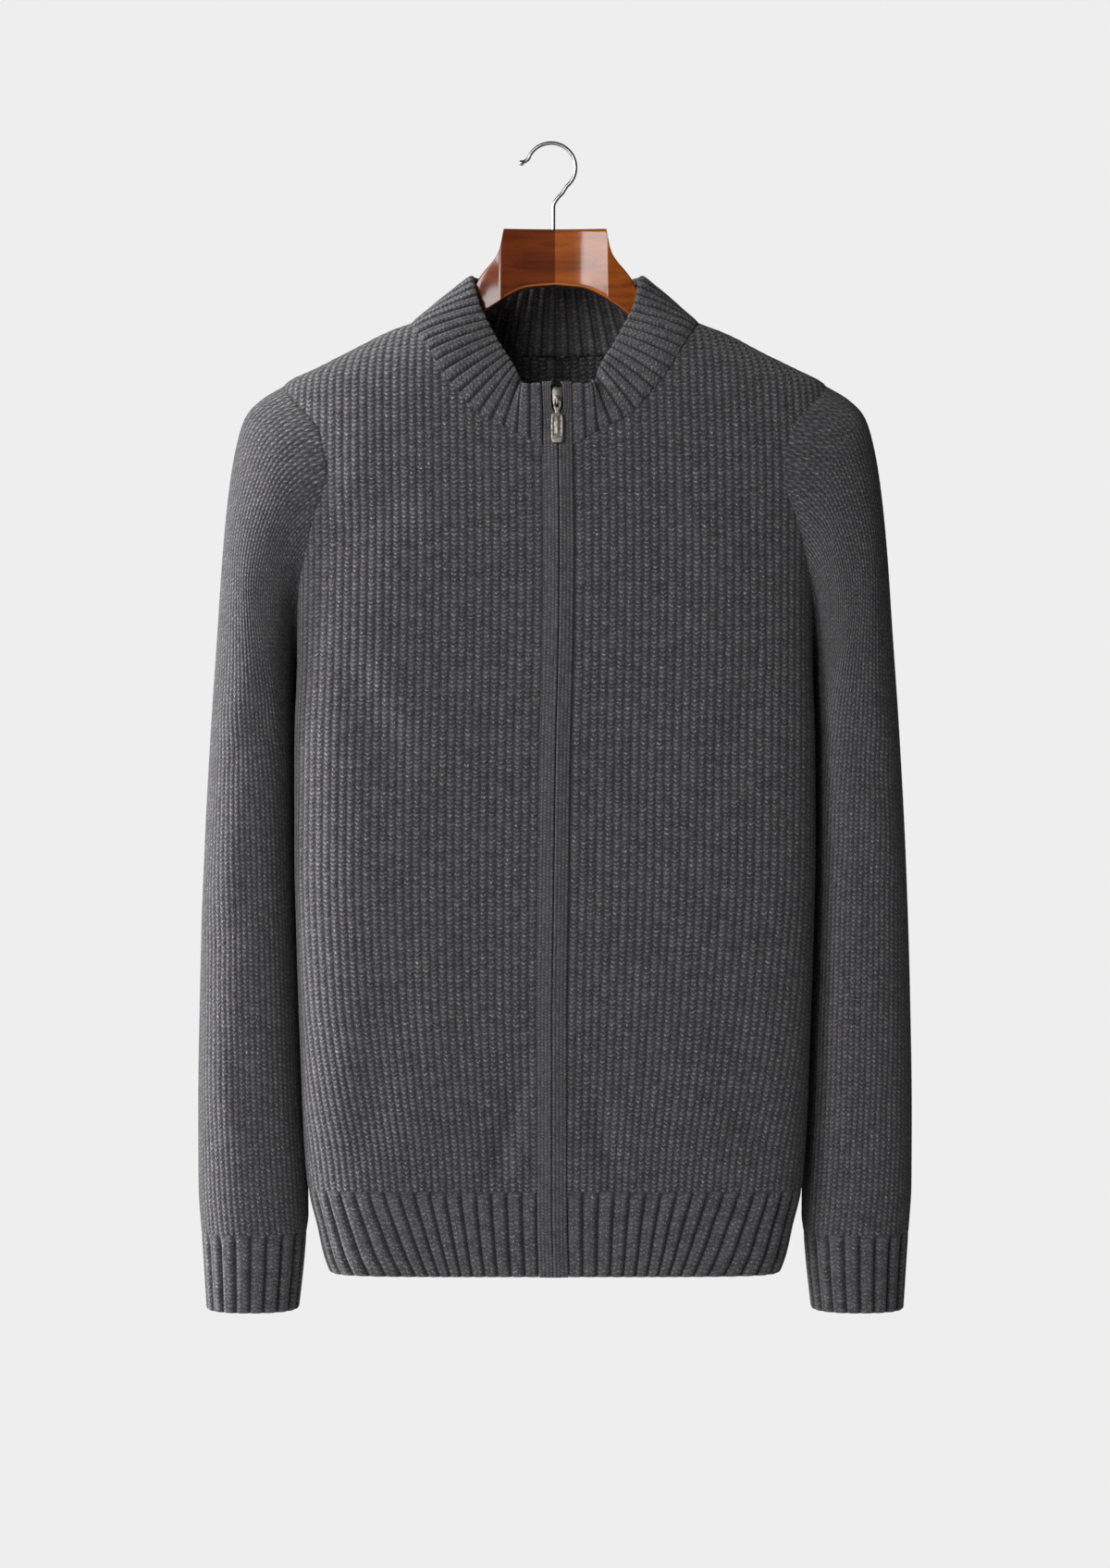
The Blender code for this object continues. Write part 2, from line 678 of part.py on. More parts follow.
def front_bar(name, side, inner_edge, outer_edge, depths, bottom, top, rows, material, soften=0.0):
    """Bar that runs up the centre front between two distances from the zip's line.

    depths are its front and back, behind the placket's face. soften rounds its two front corners.
    """
    height = np.linspace(bottom, top, rows + 1)
    line, face = zip_across(height, side), front_face(height)
    near = inner_edge(height) if callable(inner_edge) else np.full(rows + 1, float(inner_edge))
    far = np.full(rows + 1, float(outer_edge))
    front, back = depths
    if soften:
        corners = [(near, front + soften), (near + soften, front), (far - soften, front), (far, front + soften)]
    else:
        corners = [(near, front), (far, front)]
    corners += [(far, back), (near, back)]
    grid = np.stack([np.stack([side * (line + across), -(face - depth), height], axis=1)
                     for across, depth in corners], axis=1)
    count = len(corners)
    faces = []
    for row in range(rows):
        for k in range(count):
            low, low_next = row * count + k, row * count + (k + 1) % count
            faces.append((low, low_next, low_next + count, low + count))
    faces.append(tuple(range(count)))
    faces.append(tuple(rows * count + k for k in range(count)))
    return mesh_object(name, grid.reshape(-1, 3), faces, material)


def make_zip(placket_material, tape_material, chain_material):
    for side, word in ((1, "left"), (-1, "right")):
        front_bar("placket_" + word, side, lambda height: PLACKET_GAP.read("half_gap", height), PLACKET_OUT,
                  (0, PLACKET_THICK), HEM_BOTTOM, COLLAR_TOP_FRONT + 1.0, PLACKET_ROWS, placket_material, 1.3)
        front_bar("zip_tape_" + word, side, TAPE_IN, TAPE_OUT, (TAPE_DEPTH, TAPE_DEPTH + TAPE_THICK),
                  HEM_BOTTOM + 1.5, COLLAR_TOP_FRONT - 1.5, 26, tape_material)
    front_bar("zip_chain", 1, -CHAIN_HALF, CHAIN_HALF, (TAPE_DEPTH, TAPE_DEPTH + CHAIN_THICK),
              HEM_BOTTOM + 2.5, SLIDER_HEIGHT - 7.2, 26, chain_material)


def slider_frame():
    """Matrix from the slider's own axes (x across, y out of the cloth, z up the placket) to the part's."""
    low, high = SLIDER_HEIGHT - 8, SLIDER_HEIGHT + 8
    lean = math.atan2(float(front_face(low) - front_face(high)), high - low)
    place = Vector((float(ZIP_LINE.read("across", SLIDER_HEIGHT)), -float(front_face(SLIDER_HEIGHT)), SLIDER_HEIGHT))
    turn = Matrix.Rotation(-lean, 4, "X") @ Matrix.Diagonal((1, -1, 1, 1))
    return Matrix.Translation(place) @ turn


def plate(outline, low, high, axis="y"):
    """Closed prism from a flat outline, as (points, faces). axis is the one it is drawn along."""
    count = len(outline)
    points = []
    for level in (low, high):
        for first, second in outline:
            points.append((first, level, second) if axis == "y" else (level, first, second))
    faces = [tuple(range(count)), tuple(range(count, 2 * count))]
    faces += [(k, (k + 1) % count, (k + 1) % count + count, k + count) for k in range(count)]
    return points, faces


def small_part(name, prism, frame, material):
    """Object for a prism drawn in the slider's own axes."""
    points, faces = prism
    return mesh_object(name, [frame @ Vector(point) for point in points], faces, material)


def combine(target, other, operation):
    """Boolean of two objects, applied; the second object is removed."""
    modifier = target.modifiers.new(operation.lower(), "BOOLEAN")
    modifier.operation = operation
    modifier.solver = "EXACT"
    modifier.object = other
    depsgraph = bpy.context.evaluated_depsgraph_get()
    mesh = bpy.data.meshes.new_from_object(target.evaluated_get(depsgraph))
    target.modifiers.remove(modifier)
    target.data = mesh
    bpy.data.objects.remove(other)
    return target


def box_outline(half_width, low, high, corner):
    """Rectangle with cut corners."""
    return [(-half_width + corner, low), (half_width - corner, low), (half_width, low + corner),
            (half_width, high - corner), (half_width - corner, high), (-half_width + corner, high),
            (-half_width, high - corner), (-half_width, low + corner)]


def make_slider(material):
    """Slider: a waisted front plate with a bridge for the pull, on a stem that joins it to the back plate."""
    frame = slider_frame()
    face = [(-2.9, -6.2), (2.9, -6.2), (3.3, -3), (3.65, 2.4), (3.3, 5), (2.2, 6.0), (-2.2, 6.0), (-3.3, 5),
            (-3.65, 2.4), (-3.3, -3)]
    slider = small_part("zip_slider", plate(face, -1.0, 0.9), frame, material)
    stem = small_part("stem", plate(box_outline(2.4, -5.4, 5.0, 0.8), -8.2, -0.6), frame, material)
    combine(slider, stem, "UNION")
    arch = [(0.5, -7.3), (2.7, -7.3), (3.7, -6.2), (3.7, -1.6), (2.7, -0.5), (0.5, -0.5)]
    bridge = small_part("bridge", plate(arch, -0.9, 0.9, axis="x"), frame, material)
    window = [(0.9, -6.1), (2.6, -6.1), (2.6, -1.7), (0.9, -1.7)]
    hole = small_part("window", plate(window, -3.0, 3.0, axis="x"), frame, material)
    combine(bridge, hole, "DIFFERENCE")
    return combine(slider, bridge, "UNION")


def make_pull(material):
    """Pull tab: an eye round the slider's bridge and a flat, slightly flared grip below it."""
    frame = slider_frame()
    pivot_out, thick = 1.75, 1.2
    top = PULL_PIVOT + 0.55
    bottom = PULL_PIVOT - PULL_LENGTH
    outline = [(-2.0, top), (2.0, top), (2.7, top - 0.8), (2.7, PULL_PIVOT - 6.0), (2.2, PULL_PIVOT - 7.6),
               (2.9, PULL_PIVOT - 9.8), (4.2, PULL_PIVOT - 11.2), (4.5, bottom + 1.4), (3.6, bottom),
               (-3.6, bottom), (-4.5, bottom + 1.4), (-4.2, PULL_PIVOT - 11.2), (-2.9, PULL_PIVOT - 9.8),
               (-2.2, PULL_PIVOT - 7.6), (-2.7, PULL_PIVOT - 6.0), (-2.7, top - 0.8)]
    low, high = pivot_out - thick / 2, pivot_out + thick / 2
    pull = small_part("zip_pull", plate(outline, low, high), frame, material)
    eye = small_part("eye", plate(box_outline(1.6, PULL_PIVOT - 5.2, PULL_PIVOT - 0.55, 0.4), low - 1, high + 1),
                     frame, material)
    return combine(pull, eye, "DIFFERENCE")


# ------------------------------------------------------------------ hanger

def make_hanger(material):
    """Broad wooden hanger lofted from rounded sections, with a bore for the hook's stem."""
    stations = sorted({side * across for across in HANGER_STATIONS for side in (-1, 1)})
    rows = []
    for across in stations:
        read = {name: float(HANGER.read(name, abs(across))) for name in HANGER.names[1:]}
        corner = read["corner"]
        section = []
        for centre_y, centre_z, first in ((read["back"] - corner, read["top"] - corner, 0),
                                          (read["front"] + corner, read["top"] - corner, 90),
                                          (read["front"] + corner, read["bottom"] + corner, 180),
                                          (read["back"] - corner, read["bottom"] + corner, 270)):
            for step in (0, 45, 90):
                turn = math.radians(first + step)
                section.append((across, centre_y + corner * math.cos(turn), centre_z + corner * math.sin(turn)))
        rows.append(section)
    count = len(rows[0])
    faces = []
    for row in range(len(rows) - 1):
        for k in range(count):
            low, low_next = row * count + k, row * count + (k + 1) % count
            faces.append((low, low_next, low_next + count, low + count))
    faces.append(tuple(range(count)))
    faces.append(tuple((len(rows) - 1) * count + k for k in range(count)))
    hanger = mesh_object("hanger_body", [point for section in rows for point in section], faces, material)
    top = float(HANGER.read("top", 0))
    ring = [(STEM_X + STEM_BORE * math.cos(k * math.pi / 6), STEM_BORE * math.sin(k * math.pi / 6))
            for k in range(12)]
    points = [(across, depth, level) for level in (top - STEM_DEPTH, top + 5) for across, depth in ring]
    sides = [(k, (k + 1) % 12, (k + 1) % 12 + 12, k + 12) for k in range(12)]
    bore = mesh_object("bore", points, [tuple(range(12)), tuple(range(12, 24)), *sides], material)
    return combine(hanger, bore, "DIFFERENCE")


def hook_line():
    """Centre line of the hook's wire: stem, swan neck, round crown and a short outward lip."""
    centre_x, centre_z = -2.9, HOOK_WIRE / 2 - HOOK_RADIUS + 0.2
    stem_low = float(HANGER.read("top", 0)) - STEM_DEPTH + 0.5
    line = [(STEM_X, z) for z in np.linspace(stem_low, -45, 6)]
    known = [(STEM_X, -45), (-0.4, -42.5), (2.2, -38.6), (5.4, -35.2)]
    line += known[1:]
    for degrees in np.arange(-50, 161, 10):
        turn = math.radians(degrees)
        line.append((centre_x + HOOK_RADIUS * math.cos(turn), centre_z + HOOK_RADIUS * math.sin(turn)))
    line += [(-22.2, -11.9), (-24.6, -12.9)]
    return line


def make_hook(material):
    """Bent steel wire with a small ball at its free end, as one turned tube."""
    line = [Vector((x, 0.0, z)) for x, z in hook_line()]
    radii = [HOOK_WIRE / 2] * len(line)
    ball, ball_radius = line[-1], 2.1
    lip = (line[-1] - line[-2]).normalized()
    line[-1] = ball - lip * ball_radius * 0.8
    radii[-1] = HOOK_WIRE / 2
    for turn in (-45, 0, 45, 75):
        line.append(ball + lip * ball_radius * math.sin(math.radians(turn)))
        radii.append(ball_radius * math.cos(math.radians(turn)))
    around = 8
    points, faces = [], []
    for k, centre in enumerate(line):
        ahead = (line[min(k + 1, len(line) - 1)] - line[max(k - 1, 0)]).normalized()
        aside, depth = Vector((0, 1, 0)), ahead.cross(Vector((0, 1, 0)))
        for step in range(around):
            turn = 2 * math.pi * (step + 0.5) / around
            points.append(centre + radii[k] * (math.cos(turn) * aside + math.sin(turn) * depth))
    for k in range(len(line) - 1):
        for step in range(around):
            low, low_next = k * around + step, k * around + (step + 1) % around
            faces.append((low, low_next, low_next + around, low + around))
    faces.append(tuple(range(around)))
    faces.append(tuple((len(line) - 1) * around + step for step in range(around)))
    return mesh_object("hanger_hook", points, faces, material)


# ------------------------------------------------------------------ the whole part

for old in list(bpy.data.objects):
    bpy.data.objects.remove(old)

knit = finish("charcoal_knit", (0.070, 0.070, 0.073), 0.95)
rib = finish("charcoal_rib", (0.062, 0.062, 0.065), 0.95)
tape = finish("zip_tape", (0.030, 0.030, 0.032), 0.9)
zip_metal = finish("aged_nickel", (0.42, 0.40, 0.37), 0.35, 1.0)
wood = finish("lacquered_wood", (0.30, 0.085, 0.022), 0.18)
steel = finish("polished_steel", (0.72, 0.72, 0.74), 0.12, 1.0)

QUARTER_TURN = math.pi / 2
SIDE_GAP = SEAM / 72        # angle that SEAM takes at a side seam of the hem

make_back(knit)
for side, word in ((1, "left"), (-1, "right")):
    make_front("front_" + word, side, knit)
    make_sleeve("sleeve_" + word, side, knit)
    make_cuff("cuff_" + word, side, rib)
    make_hem("hem_rib_" + word, 0.0, QUARTER_TURN - SIDE_GAP, HEM_RIBS_FRONT, rib, edge_side=side)
make_hem("hem_rib_back", QUARTER_TURN + SIDE_GAP, 3 * QUARTER_TURN - SIDE_GAP, HEM_RIBS_BACK, rib)
make_collar(rib)
make_zip(rib, tape, zip_metal)
make_slider(zip_metal)
make_pull(zip_metal)
make_hanger(wood)
make_hook(steel)
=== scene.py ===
"""Looks of the charcoal zip-up cardigan, filled out and hung on its lacquered wooden hanger.

Lengths in the tables are in millimetres and are scaled by MM. The front faces -Y, and the wearer's left is
at +X.
"""
import math

import bmesh
import bpy
import numpy as np
from mathutils import Matrix, Vector


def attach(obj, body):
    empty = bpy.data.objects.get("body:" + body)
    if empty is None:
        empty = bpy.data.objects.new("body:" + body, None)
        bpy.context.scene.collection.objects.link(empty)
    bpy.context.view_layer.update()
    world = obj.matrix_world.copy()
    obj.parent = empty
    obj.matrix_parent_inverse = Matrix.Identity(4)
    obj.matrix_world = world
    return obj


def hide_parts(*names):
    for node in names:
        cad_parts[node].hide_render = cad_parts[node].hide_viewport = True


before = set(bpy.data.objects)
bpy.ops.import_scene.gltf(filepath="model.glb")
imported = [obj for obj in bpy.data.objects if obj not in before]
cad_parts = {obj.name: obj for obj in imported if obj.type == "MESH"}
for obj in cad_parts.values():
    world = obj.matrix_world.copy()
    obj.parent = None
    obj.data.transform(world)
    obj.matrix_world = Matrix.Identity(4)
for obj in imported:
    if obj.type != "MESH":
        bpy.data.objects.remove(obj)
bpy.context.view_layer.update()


# ------------------------------------------------------------------ wooden hanger
# A broad hanger of two moulded wooden halves, glued together in the middle and sanded to one hollow front,
# with a crisp ridge on each side of the neck. It is stained red-brown and sealed with thick gloss lacquer.

MM = 0.001


def smooth_through(xs, ys, at):
    """Smooth curve through the points (xs, ys), xs rising, that never swings past them."""
    at = np.clip(np.asarray(at, dtype=float), xs[0], xs[-1])
    step = np.diff(xs)
    slope = np.diff(ys) / step
    tangent = np.empty(len(xs))
    tangent[0], tangent[-1] = slope[0], slope[-1]
    before, after = slope[:-1], slope[1:]
    same_way = before * after > 0
    weight_1, weight_2 = 2 * step[1:] + step[:-1], step[1:] + 2 * step[:-1]
    safe_before, safe_after = np.where(same_way, before, 1.0), np.where(same_way, after, 1.0)
    mean = (weight_1 + weight_2) / (weight_1 / safe_before + weight_2 / safe_after)
    tangent[1:-1] = np.where(same_way, mean, 0.0)
    k = np.clip(np.searchsorted(xs, at, side="right") - 1, 0, len(step) - 1)
    t = (at - xs[k]) / step[k]
    return ((2 * t ** 3 - 3 * t ** 2 + 1) * ys[k] + (t ** 3 - 2 * t ** 2 + t) * step[k] * tangent[k]
            + (3 * t ** 2 - 2 * t ** 3) * ys[k + 1] + (t ** 3 - t ** 2) * step[k] * tangent[k + 1])


class Table:
    """Rows of named columns. The first column rises, and the others are read smoothly against it."""

    def __init__(self, columns, *rows):
        self.names = columns.split()
        self.rows = np.array(sorted(rows), dtype=float)

    def read(self, name, at):
        return smooth_through(self.rows[:, 0], self.rows[:, self.names.index(name)], at)


def placed(name, data):
    """New object in the scene that holds the data."""
    made = bpy.data.objects.new(name, data)
    bpy.context.scene.collection.objects.link(made)
    return made


def piece_from(name, points, faces, material, corner_uv=None):
    """Mesh object from points in millimetres. corner_uv has a row for each corner of each face, in order."""
    mesh = bpy.data.meshes.new(name)
    mesh.from_pydata(np.asarray(points, dtype=float) * MM, [], faces)
    if corner_uv is not None:
        layer = mesh.uv_layers.new(name="knit")
        layer.data.foreach_set("uv", np.asarray(corner_uv, dtype=np.float32).ravel())
    mesh.shade_smooth()
    mesh.materials.append(material)
    mesh.update()
    return placed(name, mesh)


def face_outwards(piece, merge=False):
    """Turns the faces of a closed mesh outwards, after merging its doubled points where asked."""
    shape = bmesh.new()
    shape.from_mesh(piece.data)
    if merge:
        bmesh.ops.remove_doubles(shape, verts=shape.verts, dist=1e-6)
    bmesh.ops.recalc_face_normals(shape, faces=shape.faces)
    shape.to_mesh(piece.data)
    shape.free()


def stand_in(piece, solid, body="cardigan"):
    """Hangs a finished piece on its body in place of a solid, and hides the solid."""
    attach(piece, body)
    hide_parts(solid)


def tube_faces(rings, around, start=0):
    """Quads between rings that follow one another, each with the same number of points around."""
    faces = []
    for low in range(start, start + (rings - 1) * around, around):
        for k in range(around):
            following = (k + 1) % around
            faces.append((low + k, low + following, low + following + around, low + k + around))
    return faces


def new_material(name):
    """New material, with its nodes and its Principled shader."""
    material = bpy.data.materials.new(name)
    material.use_nodes = True
    return material, material.node_tree, material.node_tree.nodes["Principled BSDF"]


def feed(tree, made, **inputs):
    """Sets a node's inputs by name or number, or links them to another node's output."""
    for key, value in inputs.items():
        socket = made.inputs[int(key) if key.isdigit() else key.replace("_", " ")]
        if isinstance(value, bpy.types.NodeSocket):
            tree.links.new(value, socket)
        else:
            socket.default_value = value


def node(tree, kind, **values):
    """Adds a node. Values are its properties, or its inputs by name or number (in_0, in_Scale)."""
    made = tree.nodes.new(kind)
    for key, value in values.items():
        if key.startswith("in_"):
            feed(tree, made, **{key[3:]: value})
        else:
            setattr(made, key, value)
    return made


def maths(tree, operation, *values, clamp=False):
    """Math node on outputs or plain numbers, and its output."""
    inputs = {f"in_{slot}": value for slot, value in enumerate(values)}
    return node(tree, "ShaderNodeMath", operation=operation, use_clamp=clamp, **inputs).outputs[0]


def mix_colour(tree, factor, first, second, blend="MIX"):
    """Mix node on colours, and its output."""
    first, second = ((*colour, 1.0) if isinstance(colour, tuple) else colour for colour in (first, second))
    return node(tree, "ShaderNodeMix", data_type="RGBA", blend_type=blend, in_0=factor, in_6=first,
                in_7=second).outputs[2]


def shaded(tree, colour, level):
    """Colour times a level that changes over the surface, and its output."""
    grey = node(tree, "ShaderNodeCombineColor", in_0=level, in_1=level, in_2=level)
    return mix_colour(tree, 1.0, colour, grey.outputs[0], "MULTIPLY")


def noise(tree, place, scale, detail, roughness=0.5, distortion=0.0):
    """Noise texture at a place, and its grey output."""
    return node(tree, "ShaderNodeTexNoise", in_Vector=place, in_Scale=scale, in_Detail=detail,
                in_Roughness=roughness, in_Distortion=distortion).outputs["Fac"]


def ranged(tree, value, from_low, from_high, to_low, to_high):
    """Map Range node from one range to another, and its output."""
    return node(tree, "ShaderNodeMapRange", in_0=value, in_1=from_low, in_2=from_high, in_3=to_low,
                in_4=to_high).outputs[0]


def ramped(tree, value, *stops):
    """Colour ramp with two stops, each a place and a colour, and its output."""
    ramp = node(tree, "ShaderNodeValToRGB", in_Fac=value)
    for element, (place, colour) in zip(ramp.color_ramp.elements, stops):
        element.position, element.color = place, (*colour, 1.0)
    return ramp.outputs["Color"]


def bumped(tree, height, strength, distance):
    """Bump node on a height, and its output."""
    return node(tree, "ShaderNodeBump", in_Height=height, in_Strength=strength,
                in_Distance=distance).outputs[0]


HANGER = Table(
    "across top bottom back corner",
    (0, -62.5, -103.5, 8, 2.5),
    (20, -62.5, -105.5, 6, 2.5),
    (37.5, -62.5, -113.5, 3, 3),
    (39, -70, -114.5, 3, 1.2),
    (41, -78.5, -116, 3, 1.2),
    (45.7, -86.5, -119, 3.2, 1.4),
    (51, -92.4, -123, 3.5, 1.8),
    (56, -98.8, -127, 3.8, 2.5),
    (59, -103.8, -130, 4, 3.5),
    (70, -115, -140, 5, 7),
    (85, -127.5, -152, 6, 8),
    (102, -139, -164, 8, 9),
    (140, -158, -184, 11, 10),
    (172, -175.5, -203, 13, 11),
    (186, -186, -212, 12, 11),
    (192, -194, -208, 8, 6.5),
)
# The front face runs straight from the mitre out to the ridge, then falls back to the shoulder's wing.
HANGER_FRONT = (
    # across, front face
    (0, -7.9), (14, -8.7), (22, -9.5), (38.2, -12.3), (39.4, -12.3), (49, -10.6), (60, -8.6), (72, -11.2),
    (85, -13.5), (102, -14.3), (140, -15), (172, -15.5), (186, -14), (192, -9),
)
CORNER_POINTS = 7           # points on each rounded corner of the section
WORN_HIGHLIT_POINTS = (2, 3, 4)   # those of them, at the lower front corner, where the stain is rubbed through and a highlight is painted
WORN_HIGHLIT_REACH = 75           # how far from the middle the rubbed edge with its painted highlight goes


def lacquered_wood():
    material, tree, shader = new_material("lacquered_wood")
    place = node(tree, "ShaderNodeTexCoord").outputs["Object"]
    axes = node(tree, "ShaderNodeSeparateXYZ", in_0=place).outputs
    mirrored = node(tree, "ShaderNodeCombineXYZ", in_X=maths(tree, "ABSOLUTE", axes["X"]), in_Y=axes["Y"],
                    in_Z=axes["Z"]).outputs[0]
    along = node(tree, "ShaderNodeMapping", in_Vector=mirrored, in_Rotation=(0, math.radians(-52), 0),
                 in_Scale=(9, 140, 140)).outputs[0]
    figure = noise(tree, along, 1.0, 6.0, roughness=0.62, distortion=0.6)
    pores = noise(tree, along, 7.0, 3.0)
    grain = ramped(tree, figure, (0.22, (0.060, 0.0085, 0.0012)), (0.80, (0.235, 0.044, 0.0045)))
    # The half at +X (the wearer's left) is paler wood, and its colour also carries a painted glow for the
    # light it catches.
    paler_wood_and_painted_glow = mix_colour(tree, 1.0, grain, (2.1, 2.7, 2.2), "MULTIPLY")
    halves = mix_colour(tree, maths(tree, "GREATER_THAN", axes["X"], 0.0), grain, paler_wood_and_painted_glow)
    pored = shaded(tree, halves, ranged(tree, pores, 0.30, 0.42, 0.86, 1.0))
    # The lower front corner is painted a paler orange: partly stain rubbed through, partly a painted
    # highlight where the edge catches the light.
    edge = node(tree, "ShaderNodeAttribute", attribute_name="worn_highlit_edge")
    worn_highlit = mix_colour(tree, edge.outputs["Fac"], pored, (0.62, 0.19, 0.030))
    feed(tree, shader, Base_Color=worn_highlit, Normal=bumped(tree, figure, 0.08, 0.0003), Roughness=0.6,
         Specular_IOR_Level=0.1, Coat_Weight=1.0, Coat_Roughness=0.11, Coat_IOR=1.55)
    return material


def make_hanger():
    stations = np.concatenate([[0, 1.2], np.arange(3, 36, 3.0), [36.5, 37.6, 38.2, 38.8, 39.4, 40.2, 41.5],
                               np.arange(43, 184, 2.6), [184, 186, 188, 190, 191.2, 192]])
    ring = 4 * CORNER_POINTS
    points, faces, worn_highlit_share = [], [], []
    for side in (1, -1):
        faces += tube_faces(len(stations), ring, start=len(points))
        for across in stations:
            top, bottom, back, corner = (float(HANGER.read(name, across)) for name in HANGER.names[1:])
            front = float(np.interp(across, *zip(*HANGER_FRONT)))
            centres = ((back - corner, top - corner), (front + corner, top - corner),
                       (front + corner, bottom + corner), (back - corner, bottom + corner))
            for quarter, (centre_y, centre_z) in enumerate(centres):
                for step in range(CORNER_POINTS):
                    turn = math.radians(90 * quarter + 90 * step / (CORNER_POINTS - 1))
                    points.append((side * across, centre_y + corner * math.cos(turn),
                                   centre_z + corner * math.sin(turn)))
                    # These points carry the worn edge and its painted highlight, which fades away from the
                    # middle.
                    worn_highlit = quarter == 2 and step in WORN_HIGHLIT_POINTS
                    worn_highlit_share.append(0.85 * max(0.0, 1 - across / WORN_HIGHLIT_REACH) ** 0.3 if worn_highlit else 0.0)
        faces.append(list(range(len(points) - ring, len(points))))
    wood = piece_from("hanger_wood", points, faces, lacquered_wood())
    wood.data.attributes.new("worn_highlit_edge", "FLOAT", "POINT").data.foreach_set("value", worn_highlit_share)
    face_outwards(wood, merge=True)
    wood.data.set_sharp_from_angle(angle=math.radians(17))
    stand_in(wood, "hanger_body")


make_hanger()


# ------------------------------------------------------------------ hook
# Plated steel wire, bent to a round crown with a swan neck, and finished with a small ball so that it doesn't
# scratch. Its stem is pushed into the top of the wood.

HOOK_WIRE = 2.8
HOOK_RADIUS = 18.0
HOOK_CENTRE = (-2.9, HOOK_WIRE / 2 - HOOK_RADIUS + 0.2)
STEM_X = -1.2
HOOK_BALL = 2.1             # radius of the ball at the wire's end
HOOK_RINGS = 150


def polished_steel():
    material, tree, shader = new_material("polished_steel")
    place = node(tree, "ShaderNodeTexCoord").outputs["Object"]
    rough = ranged(tree, noise(tree, place, 900.0, 2.0), 0.0, 1.0, 0.24, 0.34)
    plating = mix_colour(tree, noise(tree, place, 60.0, 4.0), (0.52, 0.52, 0.535), (0.44, 0.44, 0.455))
    feed(tree, shader, Base_Color=plating, Roughness=rough, Metallic=1.0)
    return material


def unit(vectors):
    return vectors / np.linalg.norm(vectors, axis=-1, keepdims=True)


def tube(line, radii, around):
    """Points and faces of a round tube along a line in the XZ plane, closed at both ends."""
    ahead = unit(np.gradient(line, axis=0))
    depth = np.stack([-ahead[:, 2], np.zeros(len(line)), ahead[:, 0]], axis=1)
    turn = 2 * math.pi * np.arange(around) / around
    rings = line[:, None, :] + radii[:, None, None] * (np.cos(turn)[None, :, None] * np.array([0, 1, 0])
                                                       + np.sin(turn)[None, :, None] * depth[:, None, :])
    faces = tube_faces(len(line), around)
    faces.append(list(range(around)))
    faces.append([(len(line) - 1) * around + k for k in range(around)])
    return rings.reshape(-1, 3), faces


def make_hook():
    stem = [(STEM_X, z) for z in np.linspace(-76, -45, 8)]
    neck = [(-0.4, -42.5), (2.2, -38.6), (5.4, -35.2)]
    crown = [(HOOK_CENTRE[0] + HOOK_RADIUS * math.cos(math.radians(turn)),
              HOOK_CENTRE[1] + HOOK_RADIUS * math.sin(math.radians(turn))) for turn in range(-50, 161, 10)]
    tip = [(-22.2, -11.9), (-24.6, -12.9)]
    known = np.array(stem + neck + crown + tip)
    lengths = np.concatenate([[0], np.cumsum(np.linalg.norm(np.diff(known, axis=0), axis=1))])
    dense = np.linspace(0, lengths[-1], HOOK_RINGS)
    line = np.stack([smooth_through(lengths, known[:, 0], dense), np.zeros(HOOK_RINGS),
                     smooth_through(lengths, known[:, 1], dense)], axis=1)
    end, lip = line[-1], unit(line[-1] - line[-2])
    turns = np.radians([-50, -30, -10, 10, 30, 50, 68, 82])
    line = np.vstack([line[:-4], [end + lip * HOOK_BALL * math.sin(turn) for turn in turns]])
    radii = np.concatenate([np.full(HOOK_RINGS - 4, HOOK_WIRE / 2), HOOK_BALL * np.cos(turns)])
    hook = piece_from("hook_wire", *tube(line, radii, 20), polished_steel())
    face_outwards(hook, merge=True)
    stand_in(hook, "hanger_hook")


make_hook()


# ------------------------------------------------------------------ back and fronts
# Knitted panels in a heavy marled wool: raised columns of V-shaped stitches with furrows between them,
# darkened with painted shade.
# The back and both fronts are linked along the shoulders and sides, and the fabric swells softly as it hangs.

CLOTH = 3.0                 # thickness of the knit
SEAM = 0.06                 # how far each piece stops short of a seam's line
HEM_SEAM = -763.0
HEM_BOTTOM = -824.4
UNDERARM = -383.0
SHOULDER_TIP = -176.5
NECK_FRONT = -226.0
NECK_BACK = -148.0
PANEL_EDGE = 10.8           # where the fronts, hem and collar begin, from the zip's line

COURSE = 3.2                # height of one row of stitches
SLANT = 1.0                 # rows that each leg of a stitch would climb over a whole column
COLUMN_STEPS = 4            # mesh columns on each column of stitches of a front
BACK_STEPS = 3              # and of the back
COLUMN_SNAP = 0.12          # a mesh column this near a row's end is left out, as a share of its width
ROW_HEIGHT = 1.6
SHOULDER_ROWS = -196        # above this height the rows lie closer
PANEL_RELIEF = 0.55         # height of a column of stitches over its furrow
SUNK = 0.35                 # the furrows lie this far inside the panel's outer face
SLOW_SWELL = 0.14           # how far groups of columns rise and sink
UNEVEN = 0.05               # and each column by itself
SEAM_FADE = 0.9             # the relief fades out over this distance from a seam
CREASE_FADE = 25            # and the creases over this one

